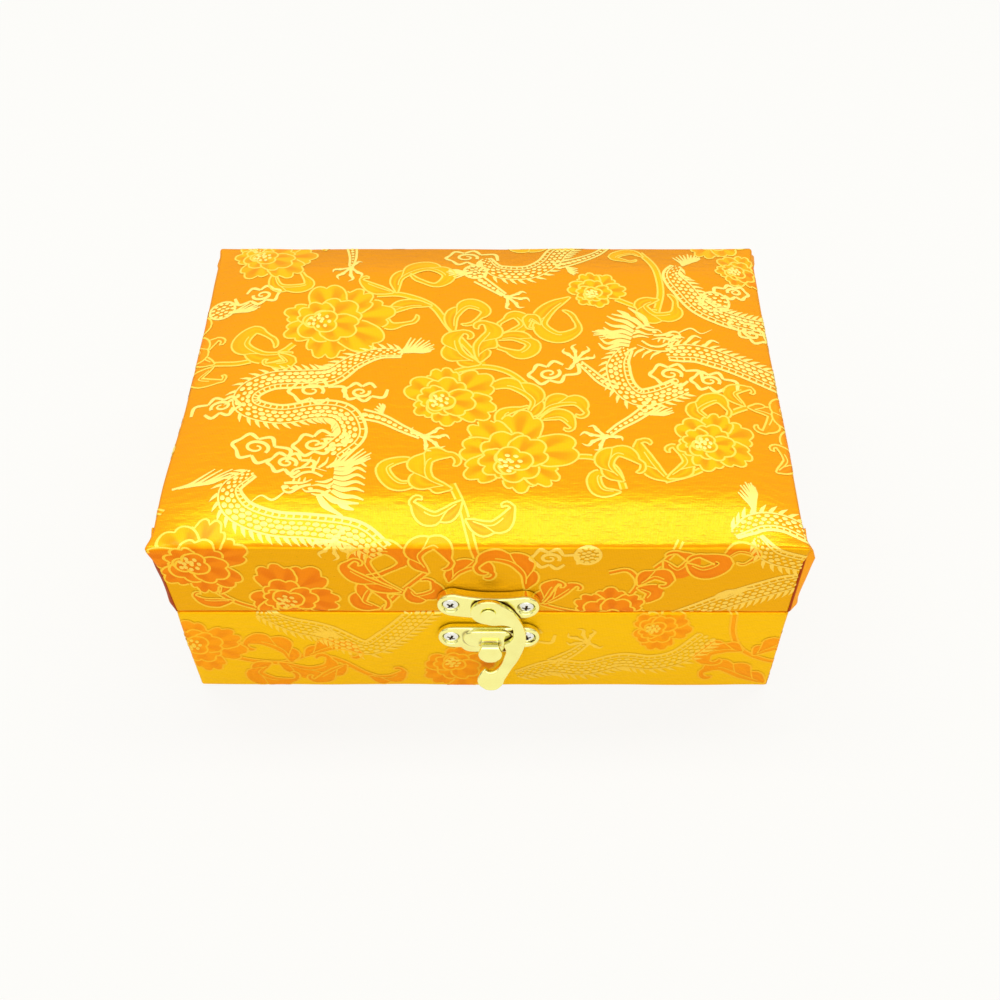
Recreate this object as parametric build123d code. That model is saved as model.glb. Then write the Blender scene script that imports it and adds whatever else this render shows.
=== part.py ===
from build123d import *
from math import radians, tan
import os

# Hinged keepsake box covered in figured silk brocade. The lid and the base are open trays of fibreboard,
# each wrapped in one sheet of brocade that turns in over the rim and round the corners. A thin sponge sheet
# crowns the lid under the cloth. Satin-covered cards line the walls, and a padded satin panel lies in each
# half. Two small brass butt hinges join the halves at the back, and a brass swing hook on the lid catches a
# tongue on the base.
# Frame: origin at the middle of the underside, +X to the right seen from the front, +Y to the back, +Z up.

# Box, measured over the cloth with the lid shut
box_width = 170.0
box_depth = 128.0
base_height = 35.85
rim_gap = 0.3
lid_height = 26.85

# Sheet materials
cloth = 0.5
paper = 0.4
wall_board = 4.0
floor_board = 3.0
lining_card = 1.5
cloth_corner_radius = 0.8
turn_in = 12.0
paper_margin = 3.0

# Sponge under the lid's brocade
sponge_edge = 0.8
crown_rise = 3.0
crown_run = 16.0

# Satin pads inside the two halves
base_pad_edge = 5.0
lid_pad_edge = 2.5
pad_rise = 3.0
pad_run = 22.0
pad_draw_in = 1.6
pad_clearance = 0.3
lining_drop = 1.0

# Brass latch, sizes seen from the front. Rises and drops of its plates are counted from the parting line,
# and stand-offs forwards from the cloth
latch_x = 1.8
pivot_rise = 5.1
latch_wall = 0.9
latch_edge_radius = 0.6
hasp_rise = 5.9
hasp_width = 28.1
hasp_height = 9.2
hasp_standoff = 3.0
hasp_waist = 1.3
hasp_bulge = 0.7
hasp_tilt = -3.0
hasp_screw_pitch = 20.6
keeper_drop = 9.3
keeper_width = 28.8
keeper_height = 9.2
keeper_standoff = 2.0
keeper_screw_pitch = 21.4
belly_width = 16.4
belly_height = 11.4
belly_drop = 1.1
belly_radius = 3.4
ridge_width = 14.4
ridge_height = 7.4
ridge_rise = 1.0
ridge_edge_radius = 0.8
ridge_lift = 0.5
tongue_width = 6.9
tongue_neck_width = 4.6
tongue_shift = 0.35
tongue_metal = 1.1
tongue_root_drop = 0.2
tongue_shoulder_drop = 1.0
tongue_tip_drop = 6.8
tongue_reach = 4.6
tongue_flare = 0.6
tongue_bend_radius = 1.2

# Swing hook
hook_metal = 1.4
hook_gap = 0.25
hook_disc_radius = 4.9
hook_reach = 10.4
hook_drop = 32.6
hook_pad_length = 7.2
hook_bend_angle = 22.0
hook_bend_radius = 6.0
hook_shoulder_shares = [(0.42, 0.80), (0.76, 0.65)]
hook_throat_shares = [(0.43, -1.11), (-0.21, -0.92)]
hook_outer_shares = [
    (0.58, 0.034),
    (0.78, -0.071),
    (0.92, -0.185),
    (1.00, -0.320),
    (0.98, -0.450),
    (0.88, -0.583),
    (0.72, -0.727),
    (0.56, -0.822),
    (0.42, -0.896),
]
hook_pad_shares = [
    (0.42, -0.896),
    (0.30, -0.967),
    (0.06, -1.0),
    (-0.19, -0.972),
    (-0.33, -0.915),
    (-0.28, -0.845),
    (-0.11, -0.782),
]
hook_inner_shares = [
    (-0.11, -0.782),
    (0.00, -0.817),
    (0.19, -0.797),
    (0.33, -0.727),
    (0.42, -0.613),
    (0.45, -0.515),
    (0.41, -0.443),
    (0.56, -0.396),
    (0.66, -0.290),
    (0.61, -0.205),
    (0.45, -0.168),
]
rivet_radius = 1.3
rivet_head_radius = 2.2
rivet_head_height = 0.4
rivet_tail_radius = 2.0
rivet_tail_height = 0.5
rivet_gap = 0.15
running_clearance = 0.06

# Screws
latch_screw_radius = 1.0
latch_screw_head_radius = 2.1
latch_screw_head_height = 0.95
latch_screw_grip = 3.9
latch_screw_sink = 0.8
hinge_screw_radius = 0.8
hinge_screw_head_radius = 1.5
hinge_screw_head_height = 0.6
hinge_screw_grip = 3.4
screw_fit = 0.04
screw_rim_share = 0.2
screw_tip_share = 0.2
recess_span_share = 0.62
recess_blade_share = 0.2
recess_depth_share = 0.55
dimple_lip = 0.6
dimple_wall = 0.7

# Butt hinges on the back
hinge_inset = 33.0
hinge_width = 20.0
hinge_leaf_height = 8.6
hinge_leaf = 0.8
hinge_leaf_corner = 1.6
knuckle_radius = 1.6
knuckle_gap = 0.2
knuckle_clearance = 0.3
pin_radius = 0.8
pin_fit = 0.03
pin_head_radius = 1.2
pin_head_height = 0.5
hinge_screw_pitch = 12.0
hinge_screw_drop = 5.2

# Levels and spans that follow from the sizes above
overrun = 1.0
front_face = box_depth / 2
floor_low = paper + cloth
base_wall_low = floor_low + floor_board
base_wall_high = base_height - cloth
lid_rim = base_height + rim_gap
lid_edge = lid_rim + lid_height
lid_wall_low = lid_rim + cloth
sponge_low = lid_edge - cloth - sponge_edge
lid_wall_high = sponge_low - floor_board
carcass_width = box_width - 2 * cloth
carcass_depth = box_depth - 2 * cloth
tray_width = carcass_width - 2 * wall_board
tray_depth = carcass_depth - 2 * wall_board
lined_width = tray_width - 2 * cloth
lined_depth = tray_depth - 2 * cloth
inner_width = lined_width - 2 * lining_card
inner_depth = lined_depth - 2 * lining_card
hinge_level = base_height + rim_gap / 2
pivot_level = hinge_level + pivot_rise
hasp_level = hinge_level + hasp_rise
keeper_level = hinge_level - keeper_drop
hinge_spacing = box_width - 2 * hinge_inset
hook_low = hasp_standoff + hook_gap
hook_high = hook_low + hook_metal
hook_bend_drop = hook_drop - hook_pad_length
parts = {}


def block(width, depth, low, high):
    """Upright block centred on the origin between two heights."""
    return Pos(0, 0, (low + high) / 2) * Box(width, depth, high - low)


def eased(shape, radius):
    """Shape with its upright edges rounded."""
    return fillet(shape.edges().filter_by(Axis.Z), radius)


def crowned(width, depth, low, edge, rise, run):
    """Block whose top swells from its edges up to a flat middle, as padding does under tight cloth."""

    def section(span):
        side = span / 2
        crest = edge + rise
        right = TangentArc((side - run, crest), (side, edge), tangent=(1, 0))
        skirt = Polyline((side, edge), (side, low), (-side, low), (-side, edge))
        left = TangentArc((run - side, crest), (-side, edge), tangent=(-1, 0))
        top = Line((run - side, crest), (side - run, crest))
        return make_face([right, skirt, left, top])

    across = extrude(Plane.XZ * section(width), amount=depth / 2, both=True)
    along = extrude(Plane.YZ * section(depth), amount=width / 2, both=True)
    return across & along


def pad(width, depth, edge):
    """Satin pad on the ground plane: crowned on top, with sides that pull in between its corners."""
    side, end = width / 2, depth / 2
    plan = make_face(
        [
            ThreePointArc((-side, -end), (0, pad_draw_in - end), (side, -end)),
            ThreePointArc((side, -end), (side - pad_draw_in, 0), (side, end)),
            ThreePointArc((side, end), (0, end - pad_draw_in), (-side, end)),
            ThreePointArc((-side, end), (pad_draw_in - side, 0), (-side, -end)),
        ]
    )
    return crowned(width, depth, 0, edge, pad_rise, pad_run) & extrude(plan, amount=edge + pad_rise)


def on_front(x, level):
    """Plane on the front cloth, whose own Z stands out from the box and own Y points up."""
    return Plane(origin=(x, -front_face, level), x_dir=(1, 0, 0), z_dir=(0, -1, 0))


def on_back(x, level):
    """Plane on the rear cloth, whose own Z stands out from the box and own Y points up."""
    return Plane(origin=(x, front_face, level), x_dir=(-1, 0, 0), z_dir=(0, 1, 0))


def screw_form(radius, head_radius, head_height, length, fit=0):
    """Countersunk screw form with its head's top at the ground plane, grown all round by a fit."""
    shank, head = radius + fit, head_radius + fit
    rim = -head_height * screw_rim_share - fit
    tip = -length - fit
    outline = Polyline(
        (0, 0),
        (head, 0),
        (head, rim),
        (shank, -head_height - fit),
        (shank, tip + length * screw_tip_share),
        (0, tip),
        close=True,
    )
    return revolve(Plane.XZ * make_face(outline), axis=Axis.Z)


def screw(radius, head_radius, head_height, length):
    """Countersunk screw with a cross recess."""
    span = 2 * head_radius * recess_span_share
    blade = head_radius * recess_blade_share
    depth = head_height * recess_depth_share
    recess = Box(span, blade, 2 * depth) + Box(blade, span, 2 * depth)
    return screw_form(radius, head_radius, head_height, length) - recess


def screw_hole(radius, head_radius, head_height, length):
    """Space that a seated screw takes in what it holds, open above its head."""
    form = screw_form(radius, head_radius, head_height, length, screw_fit)
    mouth = Pos(0, 0, overrun / 2) * Cylinder(head_radius + screw_fit, overrun)
    return form + mouth


latch_screw_sizes = (latch_screw_radius, latch_screw_head_radius, latch_screw_head_height)
hinge_screw_sizes = (hinge_screw_radius, hinge_screw_head_radius, hinge_screw_head_height)


def latch_screw_places(level, pitch, tilt, standoff):
    """Planes at the tops of the two screw heads in a latch plate, and the length of those screws."""
    middle = on_front(latch_x, level) * Rot(0, 0, tilt)
    top = standoff - latch_screw_sink
    places = [middle * Pos(side * pitch / 2, 0, top) for side in (-1, 1)]
    return places, top + latch_screw_grip


def hinge_screw_places(side):
    """Planes at the tops of the screw heads in the four leaves, above or below the hinge line."""
    places = []
    for hinge in (-1, 1):
        for end in (-1, 1):
            x = hinge * hinge_spacing / 2 + end * hinge_screw_pitch / 2
            places.append(on_back(x, hinge_level + side * hinge_screw_drop) * Pos(0, 0, hinge_leaf))
    return places


hasp_sizes = (hasp_level, hasp_screw_pitch, hasp_tilt, hasp_standoff)
hasp_places, hasp_screw_length = latch_screw_places(*hasp_sizes)
keeper_places, keeper_screw_length = latch_screw_places(keeper_level, keeper_screw_pitch, 0, keeper_standoff)
hinge_screw_length = hinge_leaf + hinge_screw_grip
hinge_hole = screw_hole(*hinge_screw_sizes, hinge_screw_length)
base_holes = [place * screw_hole(*latch_screw_sizes, keeper_screw_length) for place in keeper_places]
base_holes += [place * hinge_hole for place in hinge_screw_places(-1)]
lid_holes = [place * screw_hole(*latch_screw_sizes, hasp_screw_length) for place in hasp_places]
lid_holes += [place * hinge_hole for place in hinge_screw_places(1)]


def walls(name, low, high, width, depth, thickness, holes=None):
    """Four upright sheets round a rectangle. The front and rear ones run the whole width."""
    face = (depth - thickness) / 2
    edge = (width - thickness) / 2
    long_sheet = block(width, thickness, low, high)
    short_sheet = block(thickness, depth - 2 * thickness, low, high)
    sheets = {
        "front": Pos(0, -face, 0) * long_sheet,
        "rear": Pos(0, face, 0) * long_sheet,
        "left": Pos(-edge, 0, 0) * short_sheet,
        "right": Pos(edge, 0, 0) * short_sheet,
    }
    for side, sheet in sheets.items():
        parts[name.format(side)] = sheet - holes if side in ("front", "rear") and holes else sheet


# Carcass of the base: a floor board with four wall boards glued on it
parts["base_floor_board"] = block(carcass_width, carcass_depth, floor_low, base_wall_low)
walls("base_{}_board", base_wall_low, base_wall_high, carcass_width, carcass_depth, wall_board, base_holes)

# Brocade of the base: outside, over the rim, down inside it, and in under the floor's edges
base_outside = eased(block(box_width, box_depth, paper, base_height), cloth_corner_radius)
base_carcass = block(carcass_width, carcass_depth, floor_low, base_wall_high)
base_sleeve_low = base_wall_high - turn_in
base_sleeve = block(tray_width, tray_depth, base_sleeve_low, base_wall_high)
base_mouth = block(lined_width, lined_depth, base_sleeve_low, base_height + overrun)
window_width = carcass_width - 2 * turn_in
window_depth = carcass_depth - 2 * turn_in
base_window = block(window_width, window_depth, 0, floor_low)
parts["base_brocade"] = base_outside - base_carcass + base_sleeve - base_mouth - base_window - base_holes

# Paper over the underside, set back from the edges and pressed up between the brocade's turned-in margins
paper_sheet = block(box_width - 2 * paper_margin, box_depth - 2 * paper_margin, 0, paper)
parts["underside_paper"] = paper_sheet + block(window_width, window_depth, 0, floor_low)

# Linings and pad of the base
walls("base_lining_{}", base_wall_low, base_height - lining_drop, lined_width, lined_depth, lining_card)
pad_width = inner_width - 2 * pad_clearance
pad_depth = inner_depth - 2 * pad_clearance
parts["base_cushion"] = Pos(0, 0, base_wall_low) * pad(pad_width, pad_depth, base_pad_edge)

# Carcass of the lid: a top board over four wall boards
walls("lid_{}_board", lid_wall_low, lid_wall_high, carcass_width, carcass_depth, wall_board, lid_holes)
parts["lid_top_board"] = block(carcass_width, carcass_depth, lid_wall_high, sponge_low)

# Sponge that crowns the lid, and the brocade drawn over it and in over the rim
sponge = crowned(carcass_width, carcass_depth, sponge_low, lid_edge - cloth, crown_rise, crown_run)
parts["lid_padding"] = sponge
lid_form = crowned(box_width, box_depth, lid_rim, lid_edge, crown_rise, crown_run)
lid_bounds = eased(block(box_width, box_depth, lid_rim, lid_edge + crown_rise), cloth_corner_radius)
lid_outside = lid_form & lid_bounds
lid_carcass = block(carcass_width, carcass_depth, lid_wall_low, sponge_low)
lid_sleeve_high = lid_wall_low + turn_in
lid_sleeve = block(tray_width, tray_depth, lid_wall_low, lid_sleeve_high)
lid_mouth = block(lined_width, lined_depth, lid_rim - overrun, lid_sleeve_high)
parts["lid_brocade"] = lid_outside - sponge - lid_carcass + lid_sleeve - lid_mouth - lid_holes

# Linings and pad of the lid
walls("lid_lining_{}", lid_rim + lining_drop, lid_wall_high, lined_width, lined_depth, lining_card)
lid_pad = mirror(pad(pad_width, pad_depth, lid_pad_edge), about=Plane.XY)
parts["lid_cushion"] = Pos(0, 0, lid_wall_high) * lid_pad


def pressed_plate(outline, standoff, edge_radius):
    """Pressed sheet plate: a rounded front over a hollow back, as deep as it stands off the cloth."""
    shell = extrude(outline, amount=standoff)
    shell = fillet(shell.faces().sort_by(Axis.Z)[-1].edges(), edge_radius)
    hollow = extrude(offset(outline, amount=-latch_wall), amount=standoff - latch_wall)
    return shell - hollow


def dimples(plate, standoff, pitch):
    """Plate with its two screw dimples, which are pressed down until they bear on the cloth."""
    lip = latch_screw_head_radius + dimple_lip
    mouth = latch_screw_head_radius + screw_fit
    cup_height = standoff - latch_wall / 2
    for side in (-1, 1):
        seat = Pos(side * pitch / 2, 0, 0)
        cup = Pos(0, 0, cup_height / 2) * Cylinder(mouth + dimple_wall, cup_height)
        funnel = Pos(0, 0, standoff - latch_screw_sink / 2) * Cone(mouth, lip, latch_screw_sink)
        plate = plate + seat * cup - seat * funnel
    return plate


# Hasp plate on the lid: a bowed stadium with a waist along its top, a screw at each end, a pivot between
end_radius = hasp_height / 2
end_centre = hasp_width / 2 - end_radius
hasp_outline = make_face(
    [
        ThreePointArc((-end_centre, end_radius), (0, end_radius - hasp_waist), (end_centre, end_radius)),
        ThreePointArc((end_centre, end_radius), (hasp_width / 2, 0), (end_centre, -end_radius)),
        ThreePointArc((end_centre, -end_radius), (0, -end_radius - hasp_bulge), (-end_centre, -end_radius)),
        ThreePointArc((-end_centre, -end_radius), (-hasp_width / 2, 0), (-end_centre, end_radius)),
    ]
)
hasp_shell = pressed_plate(hasp_outline, hasp_standoff, latch_edge_radius)
hasp = dimples(hasp_shell, hasp_standoff, hasp_screw_pitch)
hasp = on_front(latch_x, hasp_level) * Rot(0, 0, hasp_tilt) * hasp
pivot = on_front(latch_x, pivot_level)
pivot_hole = pivot * Cylinder(rivet_radius + pin_fit, 2 * hasp_standoff + overrun)
parts["hasp_plate"] = hasp - pivot_hole - lid_holes
hasp_screw = screw(*latch_screw_sizes, hasp_screw_length)
parts["hasp_screws"] = Compound([place * hasp_screw for place in hasp_places])

# Rivet that carries the hook: its tail is spread behind the plate and its head is domed over the hook
tail_high = hasp_standoff - latch_wall
rivet_top = hook_high + rivet_gap + rivet_head_height
tail = Pos(0, 0, tail_high - rivet_tail_height / 2) * Cylinder(rivet_tail_radius, rivet_tail_height)
shank = Pos(0, 0, (tail_high + rivet_top) / 2) * Cylinder(rivet_radius, rivet_top - tail_high)
head = Pos(0, 0, rivet_top - rivet_head_height / 2) * Cylinder(rivet_head_radius, rivet_head_height)
head = fillet(head.edges().sort_by(Axis.Z)[-1], rivet_head_height / 2)
parts["hasp_rivet"] = pivot * (tail + shank + head)

# Keeper plate on the base: two eared ends, a lower belly, a raised ridge, and a tongue that curls out of it
ears = SlotOverall(keeper_width, keeper_height)
belly = Pos(0, -belly_drop) * RectangleRounded(belly_width, belly_height, belly_radius)
keeper_shell = pressed_plate(ears + belly, keeper_standoff, latch_edge_radius)
keeper = dimples(keeper_shell, keeper_standoff, keeper_screw_pitch)
ridge = extrude(SlotOverall(ridge_width, ridge_height), amount=keeper_standoff + ridge_rise - latch_wall)
ridge = fillet(ridge.faces().sort_by(Axis.Z)[-1].edges(), ridge_edge_radius)
ridge = Pos(0, ridge_lift, latch_wall) * ridge
tongue_line = FilletPolyline(
    (keeper_standoff - latch_wall, -tongue_root_drop),
    (tongue_reach, -tongue_shoulder_drop),
    (tongue_reach + tongue_flare, -tongue_tip_drop),
    radius=tongue_bend_radius,
)
tongue_strip = extrude(Plane.ZY * trace(tongue_line, tongue_metal), amount=tongue_width / 2, both=True)
tongue_half, neck_half = tongue_width / 2, tongue_neck_width / 2
tongue_outline = make_face(
    [
        Line((-neck_half, 0), (neck_half, 0)),
        Line((neck_half, 0), (tongue_half, tongue_half - tongue_tip_drop)),
        ThreePointArc(
            (tongue_half, tongue_half - tongue_tip_drop),
            (0, -tongue_tip_drop),
            (-tongue_half, tongue_half - tongue_tip_drop),
        ),
        Line((-tongue_half, tongue_half - tongue_tip_drop), (-neck_half, 0)),
    ]
)
tongue = tongue_strip & extrude(tongue_outline, amount=tongue_reach + tongue_flare + tongue_metal)
keeper = keeper + ridge + Pos(tongue_shift, 0, 0) * tongue
parts["keeper_plate"] = on_front(latch_x, keeper_level) * keeper - base_holes
keeper_screw = screw(*latch_screw_sizes, keeper_screw_length)
parts["keeper_screws"] = Compound([place * keeper_screw for place in keeper_places])


# Swing hook: a disc on the rivet, a crescent arm that passes round the tongue, and a thumb pad bent forwards
def on_arm(shares):
    """Outline points in millimetres from shares of the hook's reach and drop."""
    return [(across * hook_reach, down * hook_drop) for across, down in shares]


def on_disc(shares):
    """Outline points in millimetres from shares of the hook's disc radius."""
    return [(across * hook_disc_radius, up * hook_disc_radius) for across, up in shares]


arm_outer = Spline(*on_disc(hook_shoulder_shares), *on_arm(hook_outer_shares))
arm_pad = Spline(*on_arm(hook_pad_shares))
arm_inner = Spline(*on_arm(hook_inner_shares), *on_disc(hook_throat_shares))
arm_root = Line(arm_inner @ 1, arm_outer @ 0)
hook_outline = make_face([arm_outer, arm_pad, arm_inner, arm_root]) + Circle(hook_disc_radius)
hook_middle = hook_low + hook_metal / 2
pad_reach = (hook_drop + overrun - hook_bend_drop) * tan(radians(hook_bend_angle))
hook_line = FilletPolyline(
    (hook_middle, hook_disc_radius + overrun),
    (hook_middle, -hook_bend_drop),
    (hook_middle + pad_reach, -hook_drop - overrun),
    radius=hook_bend_radius,
)
hook_strip = extrude(Plane.ZY * trace(hook_line, hook_metal), amount=hook_reach + overrun, both=True)
hook = hook_strip & extrude(hook_outline, amount=hook_high + pad_reach + hook_metal)
hook = hook - Cylinder(rivet_radius + running_clearance, 2 * (hook_high + overrun))
parts["latch_hook"] = pivot * hook


def hinge_half(side, fit):
    """Hinge leaf below (-1) or above (1) the hinge line, with its knuckles bored to a fit on the pin."""
    third = hinge_width / 3
    spans = {-1: (-third, third), 1: (0,)}
    along = Pos(0, 0, knuckle_radius) * Rot(0, 90, 0)
    plate = Box(hinge_width, hinge_leaf_height, hinge_leaf)
    plate = Pos(0, side * hinge_leaf_height / 2, hinge_leaf / 2) * plate
    corners = plate.edges().filter_by(Axis.Z).sort_by(Axis.Y)
    plate = fillet(corners[:2] if side < 0 else corners[2:], hinge_leaf_corner)
    for x in spans[-side]:
        plate -= Pos(x, 0, 0) * along * Cylinder(knuckle_radius + knuckle_clearance, third + knuckle_gap)
    for x in spans[side]:
        plate += Pos(x, 0, 0) * along * Cylinder(knuckle_radius, third - knuckle_gap)
    return plate - along * Cylinder(pin_radius + fit, hinge_width + overrun)


# Butt hinges: the base's leaf has the two outer knuckles and holds the pin, the lid's leaf turns on it
pin = Cylinder(pin_radius, hinge_width + 2 * pin_head_height)
for end in (-1, 1):
    pin += Pos(0, 0, end * (hinge_width + pin_head_height) / 2) * Cylinder(pin_head_radius, pin_head_height)
pin = Rot(0, 90, 0) * pin
for hand, place in (("left", -hinge_spacing / 2), ("right", hinge_spacing / 2)):
    seat = on_back(place, hinge_level)
    parts[f"hinge_leaf_base_{hand}"] = seat * hinge_half(-1, pin_fit) - base_holes
    parts[f"hinge_leaf_lid_{hand}"] = seat * hinge_half(1, running_clearance) - lid_holes
    parts[f"hinge_pin_{hand}"] = seat * Pos(0, 0, knuckle_radius) * pin
for node, side in (("hinge_screws_base", -1), ("hinge_screws_lid", 1)):
    places = hinge_screw_places(side)
    parts[node] = Compound([seat * screw(*hinge_screw_sizes, hinge_screw_length) for seat in places])

os.makedirs("parts", exist_ok=True)
for node, shape in parts.items():
    export_step(shape, f"parts/{node}.step")
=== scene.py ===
import math

import bmesh
import bpy
import numpy as np
from mathutils import Matrix, Vector


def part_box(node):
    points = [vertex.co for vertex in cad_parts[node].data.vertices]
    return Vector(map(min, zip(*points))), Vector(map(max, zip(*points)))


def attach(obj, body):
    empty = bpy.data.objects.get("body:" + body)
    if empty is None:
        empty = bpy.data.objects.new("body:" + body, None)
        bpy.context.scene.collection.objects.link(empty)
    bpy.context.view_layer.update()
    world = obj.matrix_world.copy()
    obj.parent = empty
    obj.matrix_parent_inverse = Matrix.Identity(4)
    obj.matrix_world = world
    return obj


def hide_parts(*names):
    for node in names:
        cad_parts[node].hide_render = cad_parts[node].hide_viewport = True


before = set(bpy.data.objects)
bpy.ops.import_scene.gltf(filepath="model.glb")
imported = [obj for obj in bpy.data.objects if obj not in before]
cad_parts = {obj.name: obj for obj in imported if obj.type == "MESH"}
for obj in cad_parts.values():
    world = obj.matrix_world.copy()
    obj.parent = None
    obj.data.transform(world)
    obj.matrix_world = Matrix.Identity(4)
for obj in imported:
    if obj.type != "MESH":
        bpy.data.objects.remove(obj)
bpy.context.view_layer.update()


# Base boards.
# Five pieces of brown fibreboard, sawn square and glued into an open tray. Three millimetres thick below
# and four in the walls. Cloth, paper and linings hide all of them.
class Tint:
    """A socket of a node tree. Sums on it add Math nodes, and node() adds any other node."""

    def __init__(self, socket):
        self.socket = socket
        self.tree = socket.id_data

    def node(self, kind, settings=None, inputs=None, output=0):
        """New node of that type: its settings first, then its sockets, filled or linked."""
        made = self.tree.nodes.new(kind)
        for name, value in (settings or {}).items():
            if name == "stops":
                ramp = made.color_ramp.elements
                while len(ramp) < len(value):
                    ramp.new(0.5)
                for stop, (place, colour) in zip(ramp, value):
                    stop.position, stop.color = place, (*colour, 1)
            else:
                setattr(made, name, value)
        for name, value in (inputs or {}).items():
            if isinstance(value, Tint):
                self.tree.links.new(value.socket, made.inputs[name])
            else:
                made.inputs[name].default_value = value
        return Tint(made.outputs[output])

    def math(self, operation, first, second=0.0):
        return self.node("ShaderNodeMath", {"operation": operation}, {0: first, 1: second})

    def __add__(self, other):
        return self.math("ADD", self, other)

    def __sub__(self, other):
        return self.math("SUBTRACT", self, other)

    def __rsub__(self, other):
        return self.math("SUBTRACT", other, self)

    def __mul__(self, other):
        return self.math("MULTIPLY", self, other)

    __radd__ = __add__
    __rmul__ = __mul__

    def mix(self, low, high):
        """Colour that runs from low to high as this value runs from 0 to 1."""
        return self.node("ShaderNodeMix", {"data_type": "RGBA"}, {0: self, 6: low, 7: high}, 2)

    def noise(self, scale, detail=3.0, stretch=(1, 1, 1)):
        """Soft noise from 0 to 1 on these coordinates."""
        place = self.node("ShaderNodeMapping", None, {"Vector": self, "Scale": stretch})
        inputs = {"Vector": place, "Scale": scale, "Detail": detail}
        return place.node("ShaderNodeTexNoise", None, inputs)

    def between(self, low, high):
        """This value's way from low to high, as 0 to 1."""
        return self.node("ShaderNodeMapRange", {"clamp": True}, {0: self, 1: low, 2: high})

    def own(self, name, output=2):
        """A value that the mesh keeps for each of its points. Output 1 is a vector, and 2 a number."""
        return self.node("ShaderNodeAttribute", {"attribute_name": name}, None, output)

    def bump(self, distance, strength=1.0):
        """Normal of a surface raised by this value."""
        inputs = {"Height": self, "Distance": distance, "Strength": strength}
        return self.node("ShaderNodeBump", None, inputs)

    def link(self, shader, name):
        self.tree.links.new(self.socket, shader.inputs[name])


def colour(red, green, blue):
    """Display colour out of 255 as the linear colour that a shader takes."""
    shares = [value / 255 for value in (red, green, blue)]
    return (*[s / 12.92 if s <= 0.04045 else ((s + 0.055) / 1.055) ** 2.4 for s in shares], 1.0)


def blank(name, roughness, metallic=0.0):
    """New material, its shader, and the object coordinates that its pattern starts from."""
    finish = bpy.data.materials.new(name)
    finish.use_nodes = True
    shader = finish.node_tree.nodes["Principled BSDF"]
    shader.inputs["Roughness"].default_value = roughness
    shader.inputs["Metallic"].default_value = metallic
    place = Tint(finish.node_tree.nodes.new("ShaderNodeTexCoord").outputs["Object"])
    return finish, shader, place


def finish_nodes(finish, *names):
    """Gives construction pieces their finish."""
    for name in names:
        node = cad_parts[name]
        node.data.materials.clear()
        node.data.materials.append(finish)


def fibreboard():
    """Pressed brown fibre: short pale and dark flecks along the board."""
    finish, shader, place = blank("fibreboard", 0.85)
    fleck = place.noise(900, 4, (1, 1, 4))
    cloud = place.noise(60)
    (fleck * 0.7 + cloud * 0.3).mix(colour(98, 66, 40), colour(176, 136, 92)).link(shader, "Base Color")
    fleck.bump(0.0002, 0.6).link(shader, "Normal")
    return finish


board = fibreboard()
sides = ("front", "rear", "left", "right")
finish_nodes(board, "base_floor_board", *[f"base_{side}_board" for side in sides])


# Base cloth.
# A band of gold brocade pasted round the tray, turned under the floor, and over the rim down inside the
# walls. Its ground is satin in warm gold. Flowers, scrolls and dragons are woven in with brighter threads.
mm = 0.001
cloth_edge = 1.0
rim_edge = 0.8
cloth_thickness = 0.45
hem = 12.0
weave_wave = 0.09
thread_pitch = 0.42
ease_run = 17.0
ease_power = 1.35
bow_out, bow_middle, bow_reach, bow_drop = 1.65, -48, 26, 27
sheet_pitch = 2.4
edge_stops = (0, 0.15, 0.3, 0.5, 0.75, 1.0, 1.5, 2.2, 3.2)


def corners(node):
    """Lowest and highest corner of a construction piece in millimetres."""
    return [np.array(corner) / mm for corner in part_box(node)]


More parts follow.
